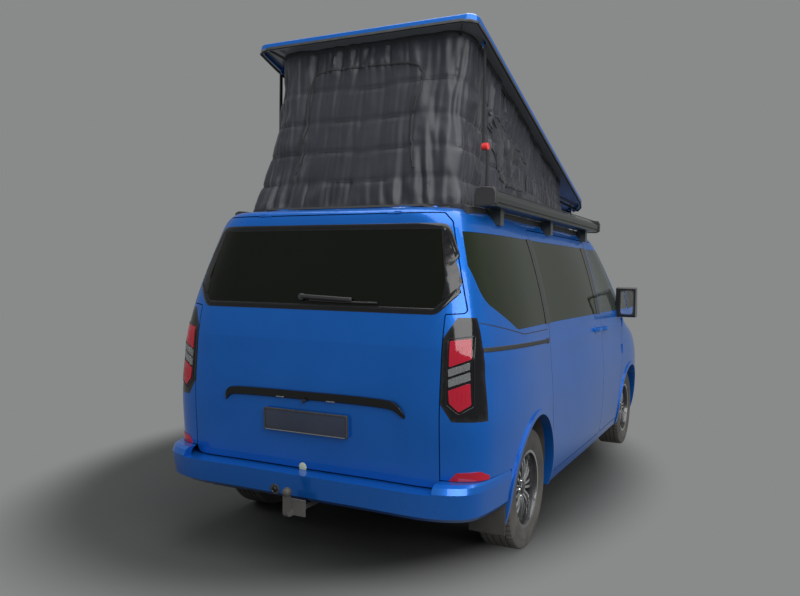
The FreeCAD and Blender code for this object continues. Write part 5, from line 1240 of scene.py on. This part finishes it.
def build_side_trim(sizes):
    right = Skin("body_side_right", "side_glass", "sliding_door", "front_door_right",
                 "front_door_glass_right")
    left = Skin("body_side_left", "side_glass", "front_door_left", "front_door_glass_left")
    for hand, axis, skin in (("right", "-x", right), ("left", "+x", left)):
        bands = (("band_rear_", [(1.105, 1.288, 0.004), (1.212, 1.288, 0.004), (1.212, 1.810, 0.004),
                                 (1.105, 1.810, 0.004)]),
                 ("band_front_", [(-0.400, 1.285, 0.006), (-0.275, 1.285, 0.006), (-0.255, 1.812, 0.006),
                                  (-0.395, 1.812, 0.006)]))
        for name, corners in bands:
            piece(name + hand, cover(skin, corners, axis, 0.0025, 0.004), "Gloss black", bevel=0.0008)
        lines_on("belt_groove_" + hand, skin, [[(2.26, 1.352), (1.72, 1.262), (1.19, 1.256)]], axis,
                 0.0055, 0.0015, "Seal rubber")
        if hand == "right":
            slot_line = [(2.235, sizes.rail_z + 0.018), (1.80, sizes.rail_z + 0.008),
                         (1.182, sizes.rail_z - 0.010)]
            lines_on("slide_rail_slot", skin, [slot_line], axis, 0.026, 0.0035, "Seal rubber")
            found = skin.at(1.205, sizes.rail_z - 0.008, axis)
            piece("slide_rail_end", rounded_box((0.012, 0.050, 0.034), found[0], 0.004), "Black trim")
    door_handle("front_handle_left", "front_door_left", left, "+x", -0.475, 1.165)
    door_handle("front_handle_right", "front_door_right", right, "-x", -0.475, 1.165)
    door_handle("slide_handle", "van", right, "-x", -0.205, 1.172)
    shape = [(0.40, 1.02, 0.02), (0.57, 1.02, 0.02), (0.57, 1.19, 0.02), (0.40, 1.19, 0.02)]
    trim_line("fuel_flap_gap", left, shape, "+x", 0.004, 0.0012, "Seal rubber")


def door_handle(name, body, skin, axis, y, z):
    """A pull handle: a dished cup behind an arched grip."""
    out = Vector((1 if axis == "+x" else -1, 0, 0))
    long, tall = 0.085, 0.036
    angles = [math.tau * n / 24 for n in range(24)]
    cup = [(y + long * math.cos(angle), z + tall * math.sin(angle), 0) for angle in angles]

    def dish(a, b):
        return 0.0012 * math.hypot((a - y) / long, (b - z) / tall)

    piece(name + "_cup", cover(skin, cup, axis, 0.0012, 0.003, 0.02, dish), "Body paint", body)
    marks = [(-0.105, 0.002), (-0.085, 0.016), (-0.045, 0.031), (0.0, 0.035), (0.045, 0.031),
             (0.085, 0.016), (0.105, 0.002)]
    spots = []
    for along, rise in marks:
        found = skin.at(y + along, z, axis)
        spots.append(found[0] + out * rise)
    path = smooth_path(spots, 5)
    verts = []
    for index, spot in enumerate(path):
        tall = 0.011 + 0.005 * math.sin(math.pi * index / (len(path) - 1))
        for n in range(12):
            turn = math.tau * n / 12
            verts.append(spot + Vector((0, 0, tall * math.cos(turn))) + out * 0.0065 * math.sin(turn))
    piece(name + "_grip", tube(verts, 12), "Body paint", body)


# Roof: the pop-up roof's gasket, its seat on the roof, awning details and the stays' elbows

GASKET_RAYS = 120
AWNING_MIDDLE = (-0.844, 1.999)
STAY_ELBOW = (0.718, 1.655, 2.318)


def build_roof_trim():
    shell_gasket()
    roof_seat()
    awning_details()
    for hand, sign in HANDS:
        spot = Vector((STAY_ELBOW[0] * sign, STAY_ELBOW[1], STAY_ELBOW[2]))
        form = lathe([(-0.017, 0.0), (-0.019, 0.017), (-0.016, 0.021), (0.016, 0.021), (0.019, 0.017),
                      (0.019, 0.0)], spot, "x", 28)
        piece("stay_elbow_" + hand, form, "Red grip", "stay_lower")


def shell_gasket():
    """A rubber run round the open shell's edge, found by rays from outside."""
    up = OPEN.to_3x3() @ Vector((0, 0, 1))
    base_z = ARM_SHUT.z - 0.004
    skin = Skin("pop_roof")
    spots = []
    middle = OPEN @ Vector((0, TIP_Y + 1.41, base_z + 0.006))
    for step in range(GASKET_RAYS):
        angle = math.tau * step / GASKET_RAYS
        way = OPEN.to_3x3() @ Vector((math.sin(angle), math.cos(angle), 0))
        spot = skin.tree.ray_cast(middle + way * 3.0, -way)[0]
        if spot is not None:
            spots.append(spot)
    form = sweep(spots, up, [(-0.004, -0.012), (0.007, -0.012), (0.009, -0.004), (0.004, 0.004),
                             (-0.004, 0.004)], True)
    piece("shell_gasket", form, "Seal rubber", "pop_roof")


def roof_seat():
    """What the shut shell sits on: a gasket at the rear, two seal lines and a bright strip."""
    roof = Skin("roof_panel")
    rear_run = [(0.67, 2.020, 0), (0.30, 2.028, 0), (-0.30, 2.028, 0), (-0.67, 2.020, 0)]
    trim_line("roof_seat_gasket", roof, rear_run, "+z", 0.058, 0.010, "Seal rubber", closed=False,
              sink=0.004)
    side_runs = [[(side, -0.50), (side, 1.98)] for side in (0.748, -0.748)]
    lines_on("roof_seat_lines", roof, side_runs, "+z", 0.010, 0.005, "Seal rubber")
    strip = [(0.60, 2.064, 0), (0.2, 2.068, 0), (-0.2, 2.068, 0), (-0.60, 2.064, 0)]
    trim_line("roof_seat_strip_rear", roof, strip, "+z", 0.008, 0.008, "Rail silver", "van",
              closed=False)


def awning_details():
    """The case's end caps and the two dark lines along it."""
    case_low, case_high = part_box("awning")
    for end, y in (("rear", case_high.y), ("front", case_low.y)):
        sign = 1 if end == "rear" else -1
        middle = Vector((AWNING_MIDDLE[0], y - sign * 0.016, AWNING_MIDDLE[1]))
        cap = [(-0.062, -0.050), (0.030, -0.053), (0.060, -0.040), (0.062, 0.020), (0.048, 0.047),
               (-0.020, 0.054), (-0.050, 0.046), (-0.062, 0.010)]
        verts = [middle + Vector((-a * grow, along * sign, b * grow))
                 for along, grow in ((-0.018, 1.0), (0.014, 1.0), (0.018, 0.93)) for a, b in cap]
        piece("awning_cap_" + end, tube(verts, len(cap)), "Black trim", bevel=0.003)
    for name, x, z in (("awning_lip_line", -0.9045, 1.972), ("awning_upper_line", -0.8985, 2.032)):
        run = (case_low.y + 0.03, (case_low.y + case_high.y) / 2, case_high.y - 0.03)
        section = [(-0.0035, -0.002), (-0.0025, 0.0016), (0.0025, 0.0016), (0.0035, -0.002)]
        piece(name, sweep([Vector((x, y, z)) for y in run], Vector((-1, 0, 0)), section), "Seal rubber")


# Cabin: padded seats and bench, head restraints and the kitchen's fittings


class Pad:
    """A cushion's form: a crowned block whose sides draw in between its corners, with sewn channels."""

    def __init__(self, size, place, crown=0.30, pull=0.035, wing=0.0, channels=()):
        self.half = [part / 2 for part in size]
        self.place, self.crown, self.pull, self.wing, self.channels = place, crown, pull, wing, channels

    def at(self, x, y, z):
        """The place of a point of the unit block's face."""
        norm = (abs(x) ** 5 + abs(y) ** 5 + abs(z) ** 5) ** 0.2
        a, b, c = x / norm, y / norm, z / norm
        wide = self.half[0] * a * (1 - self.pull * (1 - b * b))
        long = self.half[1] * b * (1 - self.pull * (1 - a * a))
        tall = self.half[2] * c * (1 - self.crown + self.crown * (1 - a ** 4) * (1 - b ** 4))
        if c > 0:
            side = max(0.0, min(1.0, (abs(a) - 0.52) / 0.25))
            tall += self.wing * side * side * (3 - 2 * side)
            for axis, mark in self.channels:
                apart = ((a if axis == "x" else b) - mark) * self.half[0 if axis == "x" else 1] / 0.008
                tall -= 0.010 * math.exp(-apart * apart)
        spot = self.place @ Vector((wide, long, tall))
        return spot + Vector((0, 0.002 * noise.noise(spot * 17.0), 0.0025 * noise.noise(spot * 9.0)))


PAD_CUTS = 34


def cushion(name, pad):
    """A padded piece with a welt round the edge of its face."""
    form = bmesh.new()
    bmesh.ops.create_cube(form, size=2.0)
    bmesh.ops.subdivide_edges(form, edges=form.edges[:], cuts=PAD_CUTS, use_grid_fill=True)
    verts = [pad.at(*vert.co) for vert in form.verts]
    faces = [[vert.index for vert in face.verts] for face in form.faces]
    form.free()
    made = piece(name, (verts, faces), "Seat cloth", edge_angle=CLOTH_ANGLE)
    square = [(1, 1), (-1, 1), (-1, -1), (1, -1)]
    line = []
    for index, (a, b) in enumerate(square):
        c, d = square[(index + 1) % 4]
        line += [(a + (c - a) * n / 16, b + (d - b) * n / 16) for n in range(16)]
    path = [pad.at(x, y, 0.86) for x, y in line]
    up = (pad.place.to_3x3() @ Vector((0, 0, 1))).normalized()
    piece(name + "_welt", sweep(path, up, round_section(0.0035, 8), True), "Seat edge")
    return made


RECLINE = Matrix.Rotation(math.radians(78), 4, "X")
CUSHION_Z = 0.785
BACK_Z = 1.165
HEAD_Z = 1.575


def seat(name, x, y, wide, heads, splits):
    """Cushion, back and head restraints facing forward; y is the middle of the cushion."""
    base = Matrix.Translation((x, y, CUSHION_Z)) @ Matrix.Rotation(math.radians(-4), 4, "X")
    wing = 0.030 if heads == 1 else 0.008
    channels = [("x", mark) for mark in splits] + [("y", 0.25), ("y", -0.25)]
    low = cushion(name + "_cushion", Pad((wide, 0.50, 0.15), base, wing=wing, channels=channels))
    back_place = Matrix.Translation((x, y + 0.272, BACK_Z)) @ RECLINE
    cushion(name + "_back", Pad((wide, 0.62, 0.12), back_place, wing=wing, channels=channels))
    for head in range(heads):
        across = x if heads == 1 else x + (head - 0.5) * wide * 0.5
        place = Matrix.Translation((across, y + 0.345, HEAD_Z)) @ RECLINE
        cushion("%s_head_%d" % (name, head + 1), Pad((0.255, 0.165, 0.095), place))
        posts = [sweep([Vector((across + side, y + 0.337, 1.42)), Vector((across + side, y + 0.355, 1.53))],
                       Vector((1, 0, 0)), round_section(0.006, 10)) for side in (-0.065, 0.065)]
        piece("%s_posts_%d" % (name, head + 1), joined(posts), "Bright steel")
    piece(name + "_plinth", rounded_box((wide * 0.86, 0.42, 0.175), (x, y, 0.610), 0.015), "Dash plastic")
    shell = rounded_box((wide * 0.92, 0.60, 0.022), (0, 0, 0), 0.009)
    piece(name + "_back_shell", moved(shell, back_place @ Matrix.Translation((0, 0, -0.066))),
          "Dash plastic")
    return low


def build_seats():
    fronts = [seat("seat_left", 0.392, -0.885, 0.475, 1, (-0.55, 0.55)),
              seat("seat_right", -0.392, -0.885, 0.475, 1, (-0.55, 0.55))]
    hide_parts("front_seats")
    bench = seat("bench", -0.015, 1.128, 1.05, 2, (-0.02, 0.02, -0.62, 0.62))
    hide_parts("rear_bench")


HOB_IN = 0.215
SINK_Y = 1.22
FRONT_COLUMNS = 4


def build_kitchen():
    low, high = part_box("kitchen_unit")
    top_size = (high.x - low.x + 0.012, high.y - low.y, 0.018)
    top_place = (low + high) / 2 + Vector((-0.008, 0, (high.z - low.z) / 2 + 0.006))
    piece("worktop", rounded_box(top_size, top_place, 0.004), "Worktop")
    hob_top(low.x + HOB_IN, high.z)
    sink_top(Vector((low.x + HOB_IN, SINK_Y, high.z + 0.016)))
    fronts, buttons = [], []
    wide = (high.y - low.y - 0.06) / FRONT_COLUMNS
    for column in range(FRONT_COLUMNS):
        y = low.y + 0.03 + wide * (column + 0.5)
        for z, tall in ((0.94, 0.42), (0.635, 0.16)):
            fronts.append(rounded_box((0.010, wide - 0.008, tall), (low.x - 0.004, y, z), 0.003))
            buttons.append(lathe([(-0.002, 0.0), (-0.002, 0.014), (-0.008, 0.012), (-0.008, 0.0)],
                                 (low.x - 0.008, y, z + tall / 2 - 0.04), "x", 20))
    piece("kitchen_fronts", joined(fronts), "Cabinet laminate", bevel=0.001)
    piece("kitchen_buttons", joined(buttons), "Rail silver")


def hob_top(x, top):
    """Dark glass with two burners under their pan rests."""
    piece("hob_glass", rounded_box((0.34, 0.50, 0.006), (x, 0.62, top + 0.018), 0.002), "Gloss black")
    rings = []
    for y in (0.50, 0.74):
        centre = Vector((x, y, top + 0.022))
        rings.append(lathe([(0.0, 0.030), (0.012, 0.030), (0.016, 0.024), (0.016, 0.0)], centre, "z", 28))
        for turn in range(4):
            quarter = Matrix.Rotation(math.tau * turn / 4, 4, "Z")
            bar = [centre + quarter @ Vector((reach, 0, rise))
                   for reach, rise in ((0.035, 0.020), (0.085, 0.020), (0.090, 0))]
            rings.append(sweep(bar, Vector((0, 0, 1)), round_section(0.0035, 8)))
    piece("hob_burners", joined(rings), "Stay black")


def sink_top(middle):
    """The bowl's rim under a dark lid, with a bent tap."""
    bowl = outline([(0.15, 0.19, 0.05), (-0.15, 0.19, 0.05), (-0.15, -0.19, 0.05), (0.15, -0.19, 0.05)], 5)
    section = [(-0.014, 0.0), (-0.012, 0.003), (0.010, 0.004), (0.014, 0.0)]
    rim = sweep([middle + Vector((p.x, p.y, 0)) for p in bowl], Vector((0, 0, 1)), section, True)
    piece("sink_rim", rim, "Bright steel")
    piece("sink_lid", rounded_box((0.285, 0.365, 0.004), middle + Vector((0, 0, 0.001)), 0.0015),
          "Gloss black")
    tap = [middle + Vector((x, 0, z)) for x, z in ((0.17, 0), (0.17, 0.16), (0.13, 0.22), (0.03, 0.21))]
    tap = sweep(smooth_path(tap, 6), Vector((0, 1, 0)), round_section(0.010, 12))
    piece("sink_tap", tap, "Bright steel")


# Front: headlamp insides, fog lamps, wipers, mirrors and the mud flaps behind the wheels


DAY_STRIP = [(0.672, 0.772, 0.004), (0.905, 0.806, 0.006), (0.948, 0.905, 0.010), (0.930, 0.905, 0.006),
             (0.892, 0.825, 0.012), (0.676, 0.790, 0.004)]
TURN_STRIP = [(0.690, 0.905, 0.003), (0.930, 0.922, 0.003), (0.926, 0.912, 0.003), (0.692, 0.895, 0.003)]


def build_front():
    lamp_skin = Skin("headlamps")
    bumper_skin = Skin("front_bumper")
    for hand, sign in HANDS:
        for part, corners, finish in (("day_strip", DAY_STRIP, "Lamp silver"),
                                      ("turn_strip", TURN_STRIP, "Amber lens")):
            strip = cover(lamp_skin, on_side(corners, sign), "-y", 0.0025, 0.004, 0.014)
            piece("headlamp_%s_%s" % (part, hand), strip, finish, bevel=0.0006)
        for name, skin, x, z, radius, tall, finish in (
                ("headlamp_bowl_1_", lamp_skin, 0.735, 0.850, 0.036, 0.002, "Lamp silver"),
                ("headlamp_eye_1_", lamp_skin, 0.735, 0.850, 0.024, 0.006, "Clear lens"),
                ("headlamp_bowl_2_", lamp_skin, 0.828, 0.858, 0.036, 0.002, "Lamp silver"),
                ("headlamp_eye_2_", lamp_skin, 0.828, 0.858, 0.024, 0.006, "Clear lens"),
                ("fog_bezel_", bumper_skin, 0.745, 0.455, 0.045, 0.0015, "Black trim"),
                ("fog_lens_", bumper_skin, 0.745, 0.455, 0.033, 0.0030, "Lamp silver")):
            piece(name + hand, disc_on(skin, x * sign, z, "-y", radius, tall), finish)
        build_mirror(hand, sign)
        piece("mud_flap_" + hand, rounded_box((0.205, 0.010, 0.215), (0.882 * sign, 1.968, 0.318), 0.004),
              "Seal rubber")
    screen = Skin("windscreen")
    blades = [[(0.66, 1.292), (0.12, 1.300)], [(0.02, 1.304), (-0.52, 1.296)]]
    lines_on("front_wiper_blades", screen, blades, "-y", 0.010, 0.014, "Seal rubber")
    arms = [[(0.70, 1.262), (0.40, 1.284)], [(0.06, 1.268), (-0.25, 1.288)]]
    lines_on("front_wiper_arms", screen, arms, "-y", 0.016, 0.020, "Black trim")


def build_mirror(hand, sign):
    """Mirror glass in its bezel, seen from behind, and the indicator on the nose side."""
    name = "mirror_" + hand
    skin = Skin(name)
    low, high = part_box(name)
    inner, outer = sorted((abs(low.x), abs(high.x)))
    inner += 0.036
    outer -= 0.014
    for part, grow, finish, proud in (("mirror_bezel_", 0.0, "Black trim", 0.002),
                                      ("mirror_glass_", 0.008, "Mirror silver", 0.0045)):
        left, right, foot, top = inner + grow, outer - grow, low.z + grow, high.z - grow
        shape = [(left, foot + 0.022, 0.022), (right, foot + 0.018, 0.030), (right, top - 0.022, 0.034),
                 (left, top - 0.030, 0.022)]
        piece(part + hand, cover(skin, on_side(shape, sign), "+y", proud, 0.006, 0.02), finish,
              "front_door_" + hand)
    lens = [(inner, low.z + 0.060, 0.004), (outer, low.z + 0.066, 0.006), (outer, low.z + 0.078, 0.006),
            (inner, low.z + 0.070, 0.004)]
    lens = cover(skin, on_side(lens, sign), "-y", 0.0015, 0.004, 0.015)
    piece("mirror_indicator_" + hand, lens, "Amber lens", "front_door_" + hand)


# Stage: floor, air, lights and the photograph's camera

# Painted shadow on the floor: an ellipse of these half sizes round this centre, fading out between these
# shares of its size
PAINTED_SHADOW_CENTRE = (0.8, 0.2, 0.0)
PAINTED_SHADOW_HALF = (2.1, 2.9, 1.0)
PAINTED_SHADOW_FADE = (0.84, 1.16)
VIEW_PLACE = (-2.218, 5.705, 1.584)
VIEW_TURN = (0.4648, -0.0324, 0.0147)


def area_light(name, place, aim, wide, tall, power, shown):
    """A rectangular light; shown says whether glossy surfaces mirror it."""
    light = bpy.data.lights.new(name, "AREA")
    light.shape = "RECTANGLE"
    light.size, light.size_y = wide, tall
    light.energy = power
    made = bpy.data.objects.new(name, light)
    made.location = place
    made.rotation_euler = (Vector(aim) - Vector(place)).to_track_quat("-Z", "Y").to_euler()
    made.visible_glossy = shown
    bpy.context.scene.collection.objects.link(made)


def shared(tree, mask, first, second, output):
    """Ends a tree in two shaders, the second one where the mask is 1."""
    join = add(tree, "ShaderNodeMixShader")
    for index, source in enumerate((mask, first, second)):
        tree.links.new(source, join.inputs[index])
    tree.links.new(join.outputs["Shader"], tree.nodes[output].inputs["Surface"])


def floor_finish(tones):
    """Matt floor with a painted shadow: near the van its colour is darkened to about a fifth of the
    backdrop's tone, where it also takes the van's rendered shadow, and further out it turns into the
    backdrop's own tone.
    """
    base = tuple(tones.floor)
    made = bpy.data.materials.new("Studio floor")
    made.use_nodes = True
    tree = made.node_tree
    shader = tree.nodes["Principled BSDF"]
    shader.inputs["Roughness"].default_value = 0.85
    shader.inputs["Specular IOR Level"].default_value = 0.2
    cloud = place_group(tree, "Soft wave", Scale=0.8, Depth=0.0)
    # Painted shadow: near the van the floor's colour is about a fifth of the backdrop's tone
    tree.links.new(mixed(tree, cloud.outputs["Cloud"], tuned(base, 0.17), tuned(base, 0.20)),
                   shader.inputs["Base Color"])
    painted_shadow_patch = textured(tree, "ShaderNodeMapping")
    painted_shadow_patch.inputs["Location"].default_value = [-part / size for part, size in zip(PAINTED_SHADOW_CENTRE, PAINTED_SHADOW_HALF)]
    painted_shadow_patch.inputs["Scale"].default_value = [1 / size for size in PAINTED_SHADOW_HALF]
    away = add(tree, "ShaderNodeVectorMath", operation="LENGTH")
    tree.links.new(painted_shadow_patch.outputs["Vector"], away.inputs[0])
    reach = add(tree, "ShaderNodeMapRange", interpolation_type="SMOOTHSTEP")
    reach.inputs["From Min"].default_value = PAINTED_SHADOW_FADE[0]
    reach.inputs["From Max"].default_value = PAINTED_SHADOW_FADE[1]
    tree.links.new(away.outputs["Value"], reach.inputs["Value"])
    plain = add(tree, "ShaderNodeEmission")
    plain.inputs["Color"].default_value = (*base, 1)
    shared(tree, reach.outputs["Result"], shader.outputs["BSDF"], plain.outputs["Emission"],
           "Material Output")
    return made


def build_air(tones):
    """Soft even light from all round; camera, glossy and see-through rays meet the backdrop's tone."""
    world = bpy.data.worlds.new("Studio air")
    bpy.context.scene.world = world
    world.use_nodes = True
    tree = world.node_tree
    back = tree.nodes["Background"]
    back.inputs["Color"].default_value = (0.62, 0.65, 0.68, 1)
    back.inputs["Strength"].default_value = 0.50
    plain = add(tree, "ShaderNodeBackground")
    plain.inputs["Color"].default_value = (*tones.floor, 1)
    path = add(tree, "ShaderNodeLightPath")
    seen = math_node(tree, "MAXIMUM", path.outputs["Is Camera Ray"], path.outputs["Is Glossy Ray"])
    seen = math_node(tree, "MAXIMUM", seen, path.outputs["Is Transmission Ray"])
    shared(tree, seen, back.outputs["Background"], plain.outputs["Background"], "World Output")


def build_stage(sizes, tones):
    scene = bpy.context.scene
    scene.view_settings.view_transform = "Standard"
    side = sizes.reach * 3
    floor = bpy.data.meshes.new("studio_floor")
    floor.from_pydata([(-side, -side, 0), (side, -side, 0), (side, side, 0), (-side, side, 0)], [],
                      [[0, 1, 2, 3]])
    floor.materials.append(floor_finish(tones))
    ground = bpy.data.objects.new("studio_floor", floor)
    scene.collection.objects.link(ground)
    build_air(tones)

    for name, place, aim, wide, tall, power, shown in (
            ("sky_light", (-1.0, 1.0, 7.0), (0, 0, 0), 7.0, 9.0, sizes.sky, True),
            ("key_light", (-5.5, 6.5, 4.5), (0, 0.5, 1.2), 6.0, 4.0, sizes.key, True),
            ("side_light", (-7.0, -1.5, 3.0), (0, 0, 1.2), 4.0, 3.0, sizes.key * 0.55, False),
            ("far_light", (6.5, 3.0, 4.0), (0, 0, 1.2), 4.0, 3.0, sizes.key * 0.45, False)):
        area_light(name, place, aim, wide, tall, power, shown)

    lens = bpy.data.cameras.new("photo_camera")
    lens.sensor_width = 36.0
    lens.lens = sizes.lens
    view = bpy.data.objects.new("photo_camera", lens)
    scene.collection.objects.link(view)
    yaw, pitch, roll = VIEW_TURN
    ahead = Vector((math.sin(yaw) * math.cos(pitch), -math.cos(yaw) * math.cos(pitch), math.sin(pitch)))
    across = ahead.cross(Vector((0, 0, 1))).normalized()
    above = across.cross(ahead)
    level = Matrix((across, above, -ahead)).transposed().to_4x4()
    view.matrix_world = Matrix.Translation(VIEW_PLACE) @ level @ Matrix.Rotation(roll, 4, "Z")
    scene.camera = view


# Operators, one for each group of pieces


class VAN_OT_finishes(bpy.types.Operator):
    """Make every finish and give the frame's nodes theirs"""
    bl_idname = "camper.finishes"
    bl_label = "Finishes"

    def execute(self, context):
        build_groups()
        build_finishes(context.scene.van_colours)
        dress_nodes()
        return {"FINISHED"}


class VAN_OT_tent(bpy.types.Operator):
    """Hang the tent with its seams and zips"""
    bl_idname = "camper.tent"
    bl_label = "Tent"

    def execute(self, context):
        build_tent(context.scene.van_tent)
        return {"FINISHED"}


class VAN_OT_wheels(bpy.types.Operator):
    """Build the tyres and the alloys"""
    bl_idname = "camper.wheels"
    bl_label = "Wheels"

    def execute(self, context):
        build_wheels(context.scene.van_wheels)
        return {"FINISHED"}


class VAN_OT_rear(bpy.types.Operator):
    """Build the tail lamps, the tailgate's trim and the rear bumper's trim"""
    bl_idname = "camper.rear"
    bl_label = "Rear trim"

    def execute(self, context):
        build_lamps()
        build_tailgate_trim(context.scene.van_trim)
        build_bumper_trim()
        return {"FINISHED"}


class VAN_OT_sides(bpy.types.Operator):
    """Build the sides' glass bands, handles, rail and grooves"""
    bl_idname = "camper.sides"
    bl_label = "Side trim"

    def execute(self, context):
        build_side_trim(context.scene.van_trim)
        return {"FINISHED"}


class VAN_OT_roof(bpy.types.Operator):
    """Build the roof's gaskets, the awning's caps and the stays' elbows"""
    bl_idname = "camper.roof"
    bl_label = "Roof trim"

    def execute(self, context):
        build_roof_trim()
        return {"FINISHED"}


class VAN_OT_cabin(bpy.types.Operator):
    """Build the padded seats, the bench and the kitchen's fittings"""
    bl_idname = "camper.cabin"
    bl_label = "Cabin"

    def execute(self, context):
        build_seats()
        build_kitchen()
        return {"FINISHED"}


class VAN_OT_front(bpy.types.Operator):
    """Build the headlamps' insides, fog lamps, wipers, mirrors and mud flaps"""
    bl_idname = "camper.front"
    bl_label = "Front trim"

    def execute(self, context):
        build_front()
        return {"FINISHED"}


class VAN_OT_stage(bpy.types.Operator):
    """Build the studio floor, the lights and the camera"""
    bl_idname = "camper.stage"
    bl_label = "Stage"

    def execute(self, context):
        build_stage(context.scene.van_stage, context.scene.van_colours)
        return {"FINISHED"}


class VAN_PT_panel(bpy.types.Panel):
    bl_label = "Camper Van"
    bl_idname = "VAN_PT_panel"
    bl_space_type = "VIEW_3D"
    bl_region_type = "UI"
    bl_category = "Camper Van"

    def draw(self, context):
        layout = self.layout
        for operator in OPERATORS:
            layout.operator(operator.bl_idname)
        for holder in HOLDERS:
            block = getattr(context.scene, holder)
            box_area = layout.box()
            for key in block.__annotations__:
                box_area.prop(block, key)


OPERATORS = (VAN_OT_finishes, VAN_OT_stage, VAN_OT_tent, VAN_OT_wheels, VAN_OT_rear, VAN_OT_sides,
             VAN_OT_roof, VAN_OT_cabin,
             VAN_OT_front)
HOLDERS = {"van_colours": VanColours, "van_tent": TentSizes, "van_wheels": WheelSizes,
           "van_trim": TrimSizes, "van_stage": StageSizes}


def register():
    for holder, kind in HOLDERS.items():
        bpy.utils.register_class(kind)
        setattr(bpy.types.Scene, holder, PointerProperty(type=kind))
    for operator in OPERATORS:
        bpy.utils.register_class(operator)
    bpy.utils.register_class(VAN_PT_panel)


def unregister():
    bpy.utils.unregister_class(VAN_PT_panel)
    for operator in reversed(OPERATORS):
        bpy.utils.unregister_class(operator)
    for holder, kind in HOLDERS.items():
        delattr(bpy.types.Scene, holder)
        bpy.utils.unregister_class(kind)


def main():
    register()
    bpy.ops.camper.finishes()
    bpy.ops.camper.stage()
    bpy.ops.camper.tent()
    bpy.ops.camper.wheels()
    bpy.ops.camper.rear()
    bpy.ops.camper.sides()
    bpy.ops.camper.roof()
    bpy.ops.camper.cabin()
    bpy.ops.camper.front()


if __name__ == "__main__":
    main()
